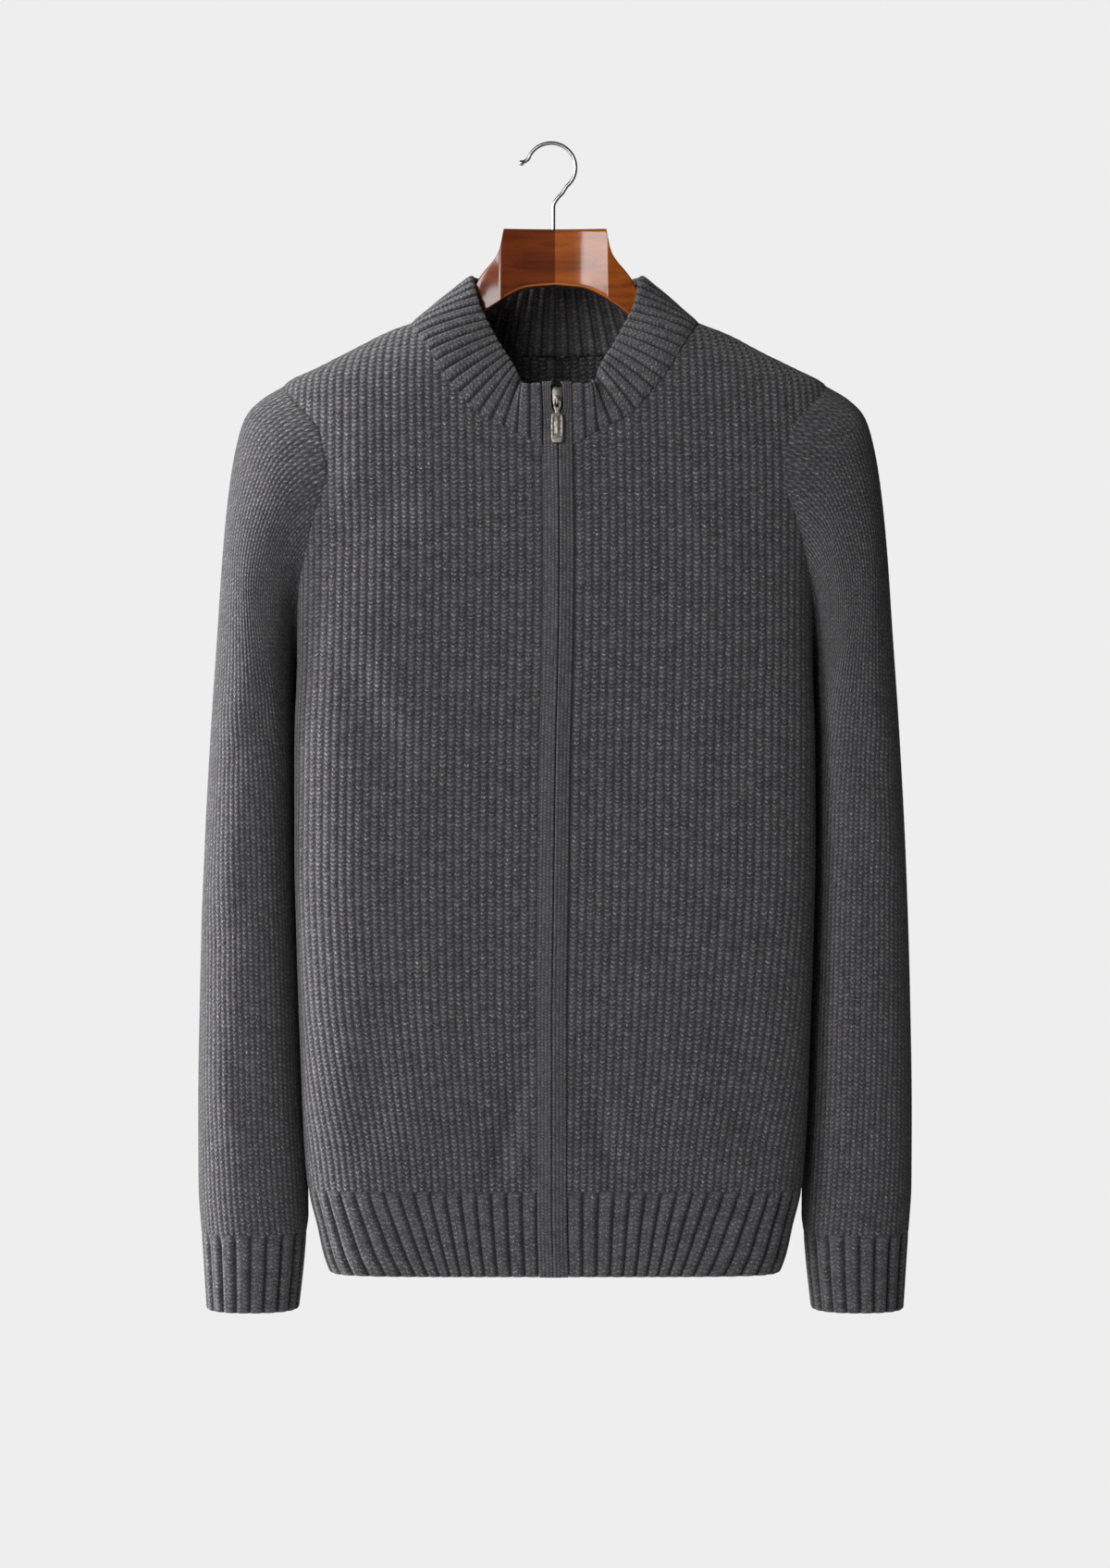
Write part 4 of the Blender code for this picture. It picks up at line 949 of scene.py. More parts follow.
def make_sleeve(side, word):
    """A sleeve whose columns of stitches run down at an even distance from its outer line."""
    rings, normals = sleeve_rings(SLEEVE_AROUND)
    rows = len(rings)
    middle = SLEEVE_AROUND // 2
    order = np.concatenate([np.arange(middle, SLEEVE_AROUND), np.arange(0, middle + 1)])
    section, section_normals = rings[:, order], normals[:, order]
    run = lengths_across(section)
    run = run - run[:, middle:middle + 1]
    first_wale, last_wale = run[:, 0] / SLEEVE_WALE, run[:, -1] / SLEEVE_WALE
    left_most = math.floor(first_wale.min() * SLEEVE_STEPS)
    first, last, wales = stitch_columns(first_wale, last_wale, SLEEVE_STEPS, left_most)
    along = wales * SLEEVE_WALE
    face = np.stack([read_rows(along, run, section[..., k]) for k in range(3)], axis=-1)
    normal = unit(np.stack([read_rows(along, run, section_normals[..., k]) for k in range(3)], axis=-1))
    degrees = read_rows(along, run, [np.linspace(180, 540, SLEEVE_AROUND + 1)] * rows) % 360
    outline = section[:, middle]
    rise = lengths_along(outline)[-1] - lengths_along(outline)
    height = face[..., 2]
    straight = height - CUFF_SEAM
    over_top = np.interp(height, outline[::-1, 2], rise[::-1])
    courses = (straight + np.exp(-(along / 42) ** 2) * (over_top - straight)) / COURSE
    marks = [(a * ARC, b, c * ARC, d, e, f) for a, b, c, d, e, f in SLEEVE_CREASES[side]]
    ends = np.minimum(np.arange(rows), np.arange(rows)[::-1])[:, None] * 2.1
    depth = creases(degrees * ARC, height, marks) * np.clip(ends / 40, 0, 1)
    seam = np.minimum(along - run[:, :1], run[:, -1:] - along)
    fade = np.clip(np.minimum(ends, seam) / SEAM_FADE, 0, 1)
    lift = SIDE_LIFT.read("lift", height) * np.exp(-(seam / SLEEVE_SIDE_WIDE) ** 2) * np.clip(ends / 10, 0, 1)
    relief = SLEEVE_RELIEF * (0.5 + stitch_relief(side * wales, courses, fade=fade))
    outer = face + normal * (relief - SLEEVE_SUNK - depth + lift)[..., None]
    inner = face - normal * (CLOTH + depth)[..., None]
    for points in (outer, inner):
        points[..., 0] *= side
    uv = np.stack([side * wales, courses], axis=-1)
    points, faces, corner_uv = panel_mesh([(outer, inner, uv, first, last, side > 0, "both")])
    sleeve = piece_from("knit_sleeve_" + word, points, faces, SLEEVE_KNIT, corner_uv)
    face_outwards(sleeve, merge=True)
    stand_in(sleeve, "sleeve_" + word)


make_sleeve(1, "left")
make_sleeve(-1, "right")


# ------------------------------------------------------------------ ribbed cuffs and hem
# Deep, springy ribs knitted in one with the sleeves and the body. They draw the fabric in, so they fan out
# towards the sides, and their lower edge rolls softly inwards.

RIB_STEPS = 8               # mesh columns on each rib
RIB_INSET = 2.8             # the grooves lie this far inside the solid's face
RIB_RISE = 3.0              # height of a rib's crest over its groove
RIB_INNER = 4.0             # the smooth inner face lies this far inside
CUFF_RIBS = 20
HEM_RIBS_FRONT = 20
HEM_RIBS_BACK = 42
GATHER = 13.0               # the ribs lean this far towards the zip at the hem's lower edge,
GATHER_AT, GATHER_WIDE = 105, 46    # most of all this far from it, and less over this width
RIB_WALES = 2               # columns of stitches on each rib
EDGE_ROLL = 2.2             # the lower edge draws in over this height
CUFF = Table(
    "height outer_x inner_x half_depth",
    (CUFF_BOTTOM, 255.7, 188.4, 36),
    (-820, 257.9, 184.6, 39),
    (CUFF_SEAM, 259.4, 182.8, 41),
)


def rib_profile(phase):
    """Height of a rib, 0 in its groove to 1 on its broad round crest. phase counts ribs."""
    return np.abs(np.sin(math.pi * phase)) ** 0.65


def rolled(height, bottom):
    """How far the wall draws in near its lower edge."""
    left = np.clip(1 - (height - bottom) / EDGE_ROLL, 0, 1)
    return EDGE_ROLL * (1 - np.sqrt(np.clip(1 - left ** 2, 0, 1))) * 0.75


def rib_heights(bottom, top):
    return np.concatenate([[bottom, bottom + 0.25, bottom + 0.8, bottom + 1.6],
                           np.linspace(bottom + 2.8, top, int((top - bottom - 2.8) / ROW_HEIGHT) + 1)])


RIB_KNIT = knit_material("charcoal_rib", 0.9, 0.38, 0.0008, level=0.88, rib_wales=RIB_WALES)


def rib_relief(phase, height, bottom, top, ease_over=9.0):
    """Relief of a ribbed band over its grooves, with its stitches, easing out level with the plain knit."""
    ease = np.clip((top - height) / ease_over, 0, 1)
    ease = ease * (2 - ease)
    fine = 0.25 * (0.5 + stitch_relief(phase * RIB_WALES, (height - top) / COURSE, 0.9))
    level = (RIB_INSET - 0.1) * (1 - ease)
    return (RIB_RISE * rib_profile(phase) + fine) * ease + level - rolled(height, bottom)


def band_wall(outer, inner, uv, skip, step, around=False):
    """Closed wall of a band from an outer grid and a coarser inner one. Around, the band's ends are joined.

    The inner grid has one row for each skip rows outside and one column for each step columns, and uv has a
    column for both ends of the band.
    """
    rows, columns = outer.shape[:2]
    inner_rows, inner_columns = inner.shape[:2]
    spans = uv.shape[1] - 1
    faces, corners = [], []

    def out(row, column):
        return row * columns + column % columns

    def into(row, column):
        return rows * columns + row * inner_columns + column % inner_columns

    def spot(row, column):
        return uv[min(row * skip, rows - 1), min(column * step, spans)]

    def add(face, spots, turned=False):
        faces.append(face[::-1] if turned else face)
        corners.extend(spots[::-1] if turned else spots)

    for row in range(rows - 1):
        for column in range(spans):
            quad = ((row, column), (row, column + 1), (row + 1, column + 1), (row + 1, column))
            add([out(*at) for at in quad], [uv[at] for at in quad])
    for row in range(inner_rows - 1):
        for column in range(spans // step):
            quad = ((row, column), (row + 1, column), (row + 1, column + 1), (row, column + 1))
            add([into(*at) for at in quad], [spot(*at) for at in quad])
    for row, inner_row in ((0, 0), (rows - 1, inner_rows - 1)):
        for column in range(spans // step):
            run = range(column * step, (column + 1) * step + 1)
            back = ((inner_row, column + 1), (inner_row, column))
            add([out(row, c) for c in run] + [into(*at) for at in back],
                [uv[row, c] for c in run] + [spot(*at) for at in back], turned=row == 0)
    for column, inner_column in () if around else ((0, 0), (spans, inner_columns - 1)):
        for row in range(inner_rows - 1):
            run = range(row * skip, min((row + 1) * skip, rows - 1) + 1)
            back = ((row + 1, inner_column), (row, inner_column))
            add([out(r, column) for r in run] + [into(*at) for at in back],
                [uv[r, column] for r in run] + [spot(*at) for at in back], turned=column > 0)
    return np.vstack([outer.reshape(-1, 3), inner.reshape(-1, 3)]), faces, np.array(corners)


def every(grid, skip):
    """Every so many rows of a grid, and its last row."""
    return np.vstack([grid[:-1:skip], grid[-1:]])


def mirror_faces(points, faces, corner_uv):
    """Mirror image of a mesh across the middle plane, with its faces turned back outwards."""
    points = points * (-1, 1, 1)
    turned, spots, at = [], [], 0
    for face in faces:
        count = len(face)
        turned.append(list(face)[::-1])
        spots.append(corner_uv[at:at + count][::-1])
        at += count
    return points, turned, np.vstack(spots) * (-1, 1)


def make_cuff(side, word):
    columns = CUFF_RIBS * RIB_STEPS
    turn = 2 * math.pi * np.arange(columns) / columns
    height = rib_heights(CUFF_BOTTOM, CUFF_SEAM - SEAM)
    read = {name: CUFF.read(name, height)[:, None] for name in CUFF.names[1:]}
    middle, half_width = (read["outer_x"] + read["inner_x"]) / 2, (read["outer_x"] - read["inner_x"]) / 2
    phase = np.broadcast_to(np.arange(columns + 1) / RIB_STEPS, (len(height), columns + 1))
    relief = rib_relief(phase[:, :-1], height[:, None], CUFF_BOTTOM, CUFF_SEAM)

    def rings(inset, angles):
        reach = squared(angles, SLEEVE_SQUARE)
        across = middle + (half_width - inset) * reach * np.cos(angles)
        depth = -(read["half_depth"] - inset) * reach * np.sin(angles)
        return np.stack([across, depth, np.broadcast_to(height[:, None], across.shape)], axis=-1)

    outer = rings(RIB_INSET - relief, turn)
    inner = every(rings(RIB_INNER, turn[::RIB_STEPS // 2]), INNER_ROWS)
    uv = np.stack([phase * RIB_WALES, np.broadcast_to(height[:, None] / COURSE, phase.shape)], axis=-1)
    points, faces, corner_uv = band_wall(outer, inner, uv, INNER_ROWS, RIB_STEPS // 2, around=True)
    if side < 0:
        points, faces, corner_uv = mirror_faces(points, faces, corner_uv)
    cuff = piece_from("rib_cuff_" + word, points, faces, RIB_KNIT, corner_uv)
    face_outwards(cuff)
    stand_in(cuff, "cuff_" + word)


def make_hem(name, solid, start, end, ribs, edge_side):
    """Ribbed hem between two angles of the body's tube. With edge_side, it starts beside the placket."""
    columns = ribs * RIB_STEPS
    height = rib_heights(HEM_BOTTOM, HEM_SEAM - SEAM)
    share = np.linspace(0, 1, columns + 1)
    phase = np.broadcast_to(share * ribs, (len(height), columns + 1))
    relief = rib_relief(phase, height[:, None], HEM_BOTTOM, HEM_SEAM)
    outer, inner = [], []
    for row, level in enumerate(height):
        first = angle_across(zip_across(level, edge_side) + PANEL_EDGE, level) if edge_side else start
        dense = np.linspace(first, end, 500)
        lengths = lengths_along(body_point(dense, level))
        near = np.exp(-((share * lengths[-1] - GATHER_AT) / GATHER_WIDE) ** 2)
        gathered = GATHER * near if edge_side else 0.0
        drop = (HEM_SEAM - level) / (HEM_SEAM - HEM_BOTTOM)
        angle = spread(dense[:, None], lengths, share - gathered * drop ** 1.2 / lengths[-1])[:, 0]
        face, normal = body_point(angle, level), body_normal(angle, level)
        normal[:, 2] = 0
        normal = unit(normal)
        outer.append(face - normal * (RIB_INSET - relief[row])[:, None])
        inner.append((face - normal * RIB_INNER)[::RIB_STEPS // 2])
    outer, inner = np.array(outer), every(np.array(inner), INNER_ROWS)
    uv = np.stack([phase * RIB_WALES, np.broadcast_to(height[:, None] / COURSE, phase.shape)], axis=-1)
    points, faces, corner_uv = band_wall(outer, inner, uv, INNER_ROWS, RIB_STEPS // 2)
    if edge_side < 0:
        points, faces, corner_uv = mirror_faces(points, faces, corner_uv)
    hem = piece_from(name, points, faces, RIB_KNIT, corner_uv)
    face_outwards(hem)
    stand_in(hem, solid)


SIDE_GAP = SEAM / 72        # the same gap as an angle, where the side is 72 mm from the middle
QUARTER_TURN = math.pi / 2
for side, word in ((1, "left"), (-1, "right")):
    make_cuff(side, word)
    make_hem("rib_hem_" + word, "hem_rib_" + word, 0.0, QUARTER_TURN - SIDE_GAP, HEM_RIBS_FRONT, side)
make_hem("rib_hem_back", "hem_rib_back", QUARTER_TURN + SIDE_GAP, 3 * QUARTER_TURN - SIDE_GAP,
         HEM_RIBS_BACK, 0)


# ------------------------------------------------------------------ collar
# A tall ribbed stand collar, knitted double and linked round the neck. It stands open at the front, folds
# over a little beside the zip, and shows the same ribs inside the back of the neck.

COLLAR_RIBS = 60
COLLAR_TOP_FRONT = -180.0
COLLAR_SHIFT = 1.3          # the opening lies this far to the wearer's left
COLLAR_BULGE = 2.0
COLLAR_ROWS = 36
COLLAR_RISE = 1.9           # height of a rib's crest over its groove, and the same on the inside
COLLAR_RISE_INSIDE = 2.8
COLLAR_OUTSIDE, COLLAR_INSIDE = 1.2, 3.7    # how far the grooves lie inside the collar's face, on both sides
COLLAR_ROLL = 3.6           # the upper edge rounds over within this distance,
COLLAR_ROLL_IN = 1.9        # and draws in by this much on each side
COLLAR_FRONT = Table(
    "height depth",
    (-226, 74),
    (-205, 70.6),
    (-178, 66),
)
COLLAR_EDGE = (
    # across, depth (front is negative), height
    (24.0, -65.6, -180.3),
    (26.5, -62.0, -175.5),
    (30.5, -56.5, -167.0),
    (34.5, -51.0, -159.5),
    (42.0, -42.0, -147.0),
    (50.0, -32.5, -131.5),
    (54.5, -26.5, -122.0),
    (58.3, -20.0, -111.0),
    (61.0, -12.0, -101.5),
    (62.3, -2.0, -96.0),
    (62.0, 12.0, -94.3),
    (58.0, 26.0, -94.3),
    (48.0, 38.0, -94.7),
    (30.0, 49.0, -95.2),
    (0.0, 54.0, -95.6),
)


def neck_edge(side):
    """Points along the panels' neck edge on one side, from placket to centre back, and their normals."""
    parts = []
    for back in (False, True):
        known = neckline(side, back)
        across = known[-1, 0] - (known[-1, 0] - known[0, 0]) * np.linspace(1, 0, 200) ** 1.6
        height = smooth_through(known[:, 0], known[:, 1], across)
        angle = angle_across(across, height, back)
        angle[-1] = math.pi / 2
        parts.append(np.stack([angle, height], axis=1))
    line = np.vstack([parts[0], parts[1][::-1]])
    points, normals = body_point(line[:, 0], line[:, 1]), body_normal(line[:, 0], line[:, 1])
    points[:, 0] *= side
    normals[:, 0] *= side
    return points, normals


def collar_edge_line(side):
    """Dense points of one side of the collar's upper edge, from the placket to the centre back."""
    known = np.array(COLLAR_EDGE)
    known[:, 0] = side * known[:, 0] + COLLAR_SHIFT * np.minimum(known[:, 0] / 20, 1)
    start = side * (zip_across(COLLAR_TOP_FRONT, side) + PANEL_EDGE)
    known = np.vstack([[start, -COLLAR_FRONT.read("depth", COLLAR_TOP_FRONT), COLLAR_TOP_FRONT], known])
    lengths = lengths_along(known)
    dense = np.linspace(0, lengths[-1], 600)
    return np.stack([smooth_through(lengths, known[:, k], dense) for k in range(3)], axis=1)


UPRIGHT_SEAM = 19.0         # the ribs beside the zip run upright over this length of the neck seam
UPRIGHT_EDGE = 14.5         # and over this length of the upper edge
# The corner beside the zip folds in on the wearer's left, and creases a little on the other side: how deep,
# where and how wide, as shares of the collar's length from the wearer's left, and how it grows upwards.
COLLAR_FOLDS = ((9.0, 0.060, 0.012, 1.3, 0.15), (4.5, 1 - 0.048, 0.009, 1.2, 0.2))


def make_collar():
    columns = COLLAR_RIBS * RIB_STEPS
    share = np.linspace(0, 1, columns // 2 + 1)
    seam, seam_normal, edge = [], [], []
    for side in (1, -1):
        points, normals = neck_edge(side)
        lengths = lengths_along(points)
        top = collar_edge_line(side)
        top_lengths = lengths_along(top)
        kink = UPRIGHT_SEAM / lengths[-1]
        top_kink = np.array([0, UPRIGHT_EDGE, UPRIGHT_EDGE + 0.032 * top_lengths[-1], top_lengths[-1]])
        upper = smooth_through(np.array([0, kink, kink + 0.05, 1.0]), top_kink, share) / top_lengths[-1]
        for whole, part in ((seam, spread(points, lengths, share)),
                            (seam_normal, spread(normals, lengths, share)),
                            (edge, spread(top, top_lengths, upper))):
            whole.append(part if side == 1 else part[::-1][1:])
    seam, seam_normal, edge = np.vstack(seam), unit(np.vstack(seam_normal)), np.vstack(edge)
    seam = seam + 2.2 * SEAM * unit(edge - seam)
    level = np.concatenate([np.linspace(0, 0.955, COLLAR_ROWS), [0.975, 0.99, 1.0]])[:, None, None]
    face = seam * (1 - level) + edge * level
    face = face + COLLAR_BULGE * 4 * level * (1 - level) * grid_normals(face)
    normals = grid_normals(face)
    normals[0] = unit(0.7 * seam_normal + 0.3 * normals[0])
    phase = np.broadcast_to(np.arange(columns + 1) / RIB_STEPS, face.shape[:2])
    length = np.linalg.norm(edge - seam, axis=1)[None, :]
    left = (1 - level[..., 0]) * length               # distance down from the upper edge
    roll = np.clip(1 - left / COLLAR_ROLL, 0, 1)
    roll = COLLAR_ROLL_IN * (1 - np.sqrt(np.clip(1 - roll ** 2, 0, 1)))
    ease = 0.5 + 0.5 * np.clip(level[..., 0] * length / 5, 0, 1)
    fine = 0.28 * (0.5 + stitch_relief(phase * RIB_WALES, left / COURSE, 0.9))
    relief = COLLAR_RISE * rib_profile(phase) * ease + fine - roll
    column = np.arange(columns + 1)[None, :] / columns
    fold = sum(deep * np.exp(-((column - at) / wide) ** 2) * np.clip(level[..., 0] * grow - late, 0, 1)
               for deep, at, wide, grow, late in COLLAR_FOLDS)
    outer = face - normals * (COLLAR_OUTSIDE - relief + fold)[..., None]
    inside = COLLAR_RISE_INSIDE * rib_profile(phase + 0.5) * ease - roll
    inner = face - normals * (COLLAR_INSIDE + inside + fold)[..., None]
    for points in (outer, inner):
        for column_number, side in ((0, 1), (-1, -1)):
            points[:, column_number, 0] = side * (zip_across(points[:, column_number, 2], side) + PANEL_EDGE)
    uv = np.stack([phase * RIB_WALES, left / COURSE], axis=-1)
    points, faces, corner_uv = band_wall(outer, inner, uv, 1, 1)
    collar = piece_from("rib_collar", points, faces, RIB_KNIT, corner_uv)
    face_outwards(collar)
    stand_in(collar, "collar")


make_collar()


# ------------------------------------------------------------------ plackets
# Narrow double bands of fine knit that cover both sides of the zip, from the hem up to the collar's edge.

PLACKET_OUT = 10.7          # the band's outer edge, from the zip's line
PLACKET_PROUD = 1.0         # it stands this far out of the panel
PLACKET_THICK = 5.0
PLACKET_WALES = 4           # columns of stitches across the band
PLACKET_COURSE = 2.3        # height of one of its rows
PLACKET_ROUND = 0.9         # radius of its long edges
PLACKET_RELIEF = 0.14       # height of its stitches
PLACKET_SWELL = 0.15        # how far it waves out and in on its way up
PLACKET_TILT = 1.6          # how much lower the band lies at its outer edge than beside the zip
PLACKET_GAP = Table(
    "height half_gap",
    (-826, 0.02),
    (-812, 0.05),
    (-798, 0.25),
    (-209, 0.25),
    (-203, 1.6),
    (-198, 4.1),
    (-182.5, 4.1),
    (-180, 2.6),
    (-178, 2.0),
)


def front_face(height):
    """How far the placket's face is in front of the middle plane."""
    below = BODY.read("front", height)
    above = COLLAR_FRONT.read("depth", height)
    return np.where(np.asarray(height) < NECK_FRONT, below, above) + PLACKET_PROUD


# The placket's colour is turned down (level 0.84) as painted shade, for the shadows beside the zip.
PLACKET_KNIT = knit_material("placket_knit", 0.8, 0.45, 0.0009, level=0.84)


def bar_from(name, grid, u, v, material):
    """Closed bar through a grid of points, each row a ring round it. u has one more value than a ring."""
    rows, around = grid.shape[:2]
    faces = tube_faces(rows, around)
    corners = [(u[c], v[r]) for row in range(rows - 1) for k in range(around)
               for r, c in ((row, k), (row, k + 1), (row + 1, k + 1), (row + 1, k))]
    for row in (0, rows - 1):
        faces.append([row * around + k for k in range(around)])
        corners += [(u[k], v[row]) for k in range(around)]
    bar = piece_from(name, grid.reshape(-1, 3), faces, material, np.array(corners))
    face_outwards(bar)
    return bar


def make_placket(side, word):
    height = np.arange(HEM_BOTTOM, COLLAR_TOP_FRONT + 1.0, 1.05)
    near = PLACKET_GAP.read("half_gap", height)[:, None]
    face, line = front_face(height)[:, None], zip_across(height, side)[:, None]
    width = PLACKET_OUT - near
    share = np.linspace(0, 1, PLACKET_WALES * 4 + 1)[None, :]
    across = near + width * share
    ends = np.minimum(share, 1 - share) * width
    inside = np.clip(PLACKET_ROUND - ends, 0, PLACKET_ROUND)
    round_off = PLACKET_ROUND - np.sqrt(np.clip(PLACKET_ROUND ** 2 - inside ** 2, 0, None))
    wales = np.broadcast_to(share * PLACKET_WALES, across.shape)
    courses = np.broadcast_to((height / PLACKET_COURSE)[:, None], across.shape)
    relief = PLACKET_RELIEF * (0.5 + stitch_relief(wales, courses, 0.8)) * np.clip(ends / 0.8, 0, 1)
    swell = PLACKET_SWELL * np.sin(height / 23.0 + side) * np.sin(height / 61.0 + 1.7 * side)
    depth = round_off - 0.45 + PLACKET_TILT * share ** 1.2 - relief + swell[:, None]
    # round the band: back corner by the zip, its front, and the outer back corner
    across = np.hstack([near, across, np.full_like(near, PLACKET_OUT)])
    depth = np.hstack([np.full_like(near, PLACKET_THICK), depth, np.full_like(near, PLACKET_THICK)])
    grid = np.stack([side * (line + across), depth - face,
                     np.broadcast_to(height[:, None], across.shape)], axis=-1)
    u = np.concatenate([[-0.8], (share * PLACKET_WALES)[0], [PLACKET_WALES + 0.8, PLACKET_WALES + 2.0]])
    band = bar_from("placket_band_" + word, grid, side * u, height / PLACKET_COURSE, PLACKET_KNIT)
    band.data.set_sharp_from_angle(angle=math.radians(60))
    stand_in(band, "placket_" + word)


# ------------------------------------------------------------------ zip tapes
# Woven charcoal tape behind each placket, with a beaded edge that the teeth are clenched on.

TAPE_IN, TAPE_OUT = 3.2, 13.0   # the tape's two edges, from the zip's line
TAPE_DEPTH = 5.4                # how far it lies behind the placket's face


def woven_tape():
    material, tree, shader = new_material("zip_tape")
    place = node(tree, "ShaderNodeUVMap", uv_map="knit").outputs[0]
    axes = node(tree, "ShaderNodeSeparateXYZ", in_0=place).outputs
    zigzag = maths(tree, "PINGPONG", axes["X"], 1.5)
    twill = maths(tree, "FRACT", maths(tree, "MULTIPLY", maths(tree, "ADD", axes["Y"], zigzag), 1.4))
    thread = maths(tree, "SINE", maths(tree, "MULTIPLY", twill, math.pi))
    feed(tree, shader, Base_Color=mix_colour(tree, thread, (0.012, 0.012, 0.014), (0.045, 0.045, 0.048)),
         Normal=bumped(tree, thread, 0.7, 0.0002), Roughness=0.85)
    return material


TAPE_WEAVE = woven_tape()
TAPE_SECTION = (
    # across and depth, round the tape from the edge that holds the teeth
    (TAPE_IN, 0.1), (TAPE_IN + 0.1, -0.35), (TAPE_IN + 0.8, -0.5), (TAPE_IN + 1.5, -0.1), (TAPE_IN + 2, 0.1),
    (TAPE_OUT - 0.1, 0.1), (TAPE_OUT, 0.4), (TAPE_OUT - 0.1, 0.8), (TAPE_IN + 1.5, 0.9), (TAPE_IN + 0.2, 0.9),
)


def make_tape(side, word):
    height = np.linspace(HEM_BOTTOM + 1.5, COLLAR_TOP_FRONT - 1.5, 160)
    face, line = front_face(height), zip_across(height, side)
    grid = np.stack([np.stack([side * (line + across), -(face - TAPE_DEPTH - depth), height], axis=1)
                     for across, depth in TAPE_SECTION], axis=1)
    u = [across for across, _ in TAPE_SECTION + TAPE_SECTION[:1]]
    tape = bar_from("woven_tape_" + word, grid, u, height, TAPE_WEAVE)
    stand_in(tape, "zip_tape_" + word)


for side, word in ((1, "left"), (-1, "right")):
    make_placket(side, word)
    make_tape(side, word)


# ------------------------------------------------------------------ zip teeth
# Cast metal teeth, clenched one by one on the two tapes so that they mesh along the middle. Below the slider
# they are locked, and the last few beside it spread apart.

TOOTH_PITCH = 2.6
TOOTH = (2.3, 1.25, 1.35)
CHAIN_DEPTH = 6.5           # how far the teeth lie behind the placket's face
SLIDER_HEIGHT = -190.0


def aged_nickel():
    material, tree, shader = new_material("aged_nickel")
    tarnish = noise(tree, node(tree, "ShaderNodeTexCoord").outputs["Object"], 420.0, 5.0, 0.6)
    plating = ramped(tree, tarnish, (0.34, (0.11, 0.095, 0.08)), (0.60, (0.36, 0.34, 0.31)))
    feed(tree, shader, Base_Color=plating, Roughness=ranged(tree, tarnish, 0.3, 0.7, 0.5, 0.3), Metallic=1.0)
    return material


NICKEL = aged_nickel()


def teeth_tree():
    """Geometry Nodes tree: teeth at an even pitch along a line, on one side of it."""
    tree = bpy.data.node_groups.new("zip_teeth", "GeometryNodeTree")
    put, get = group_ends(tree, (("Geometry", "Geometry", None), ("Pitch", "Float", TOOTH_PITCH * MM),
                                 ("Tooth", "Vector", tuple(size * MM for size in TOOTH)),
                                 ("Metal", "Material", None)), (("Geometry", "Geometry"),))
    curve = node(tree, "GeometryNodeMeshToCurve", in_Mesh=put["Geometry"])
    even = node(tree, "GeometryNodeResampleCurve", mode="LENGTH", in_Curve=curve.outputs[0],
                in_Length=put["Pitch"])
    block = node(tree, "GeometryNodeMeshCube", in_Size=put["Tooth"])
    softer = node(tree, "GeometryNodeSubdivisionSurface", in_Mesh=block.outputs["Mesh"], in_Level=1,
                  in_Edge_Crease=0.7)
    each = node(tree, "GeometryNodeInstanceOnPoints", in_Points=even.outputs[0],
                in_Instance=softer.outputs[0])
    real = node(tree, "GeometryNodeRealizeInstances", in_Geometry=each.outputs[0])
    painted = node(tree, "GeometryNodeSetMaterial", in_Geometry=real.outputs[0], in_Material=put["Metal"])
    feed(tree, get, Geometry=painted.outputs[0])
    return tree


TEETH_TREE = teeth_tree()


def grown_mesh(name, points, tree, values):
    """Runs a Geometry Nodes tree on a line of points and gives back its result as a plain mesh."""
    line = bpy.data.meshes.new(name + "_line")
    line.from_pydata([tuple(point) for point in np.asarray(points) * MM],
                     [(k, k + 1) for k in range(len(points) - 1)], [])
    holder = placed(name, line)
    modifier = holder.modifiers.new("grow", "NODES")
    modifier.node_group = tree
    for item in tree.interface.items_tree:
        if item.in_out == "INPUT" and item.name in values:
            modifier[item.identifier] = values[item.name]
    depsgraph = bpy.context.evaluated_depsgraph_get()
    mesh = bpy.data.meshes.new_from_object(holder.evaluated_get(depsgraph))
    holder.modifiers.clear()
    bpy.data.objects.remove(holder)
    return mesh


def make_teeth():
    parts = []
    for side in (1, -1):
        shift = 0.0 if side > 0 else TOOTH_PITCH / 2
        height = np.linspace(HEM_BOTTOM + 3 + shift, COLLAR_TOP_FRONT - 4, 240)
        spread_out = np.clip((height - (SLIDER_HEIGHT - 6)) / 10, 0, 1)
        offset = 1.0 + 2.2 * spread_out ** 1.3
        points = np.stack([ZIP_LINE.read("across", height) + side * offset,
                           -(front_face(height) - CHAIN_DEPTH), height], axis=1)
        parts.append(grown_mesh("teeth_" + str(side), points, TEETH_TREE, {"Metal": NICKEL}))
    joined = bmesh.new()
    for mesh in parts:
        joined.from_mesh(mesh)
    mesh = bpy.data.meshes.new("zip_teeth")
    joined.to_mesh(mesh)
    joined.free()
    mesh.materials.clear()
    mesh.materials.append(NICKEL)
    mesh.shade_smooth()
    stand_in(placed("zip_teeth", mesh), "zip_chain")


make_teeth()


# ------------------------------------------------------------------ slider and pull tab
# A die-cast slider, waisted between its two channels, with a bridge for the pull. The long pull tab is an
# eye, a neck and a framed grip with a sunk panel and a solid foot.

PULL_PIVOT = -3.9           # height of the bridge's pin over the slider's middle
PULL_LENGTH = 31.4


def slider_frame():
    """Matrix from the slider's own axes (x across, y out of the cloth, z up the placket) to the part's."""
    low, high = SLIDER_HEIGHT - 8, SLIDER_HEIGHT + 8
    lean = math.atan2(float(front_face(low) - front_face(high)), high - low)
    across, face = ZIP_LINE.read("across", SLIDER_HEIGHT), front_face(SLIDER_HEIGHT)
    place = Vector((float(across), -float(face), SLIDER_HEIGHT))
    turn = Matrix.Rotation(-lean, 4, "X") @ Matrix.Diagonal((1, -1, 1, 1))
    return Matrix.Translation(place) @ turn


SLIDER_FRAME = slider_frame()


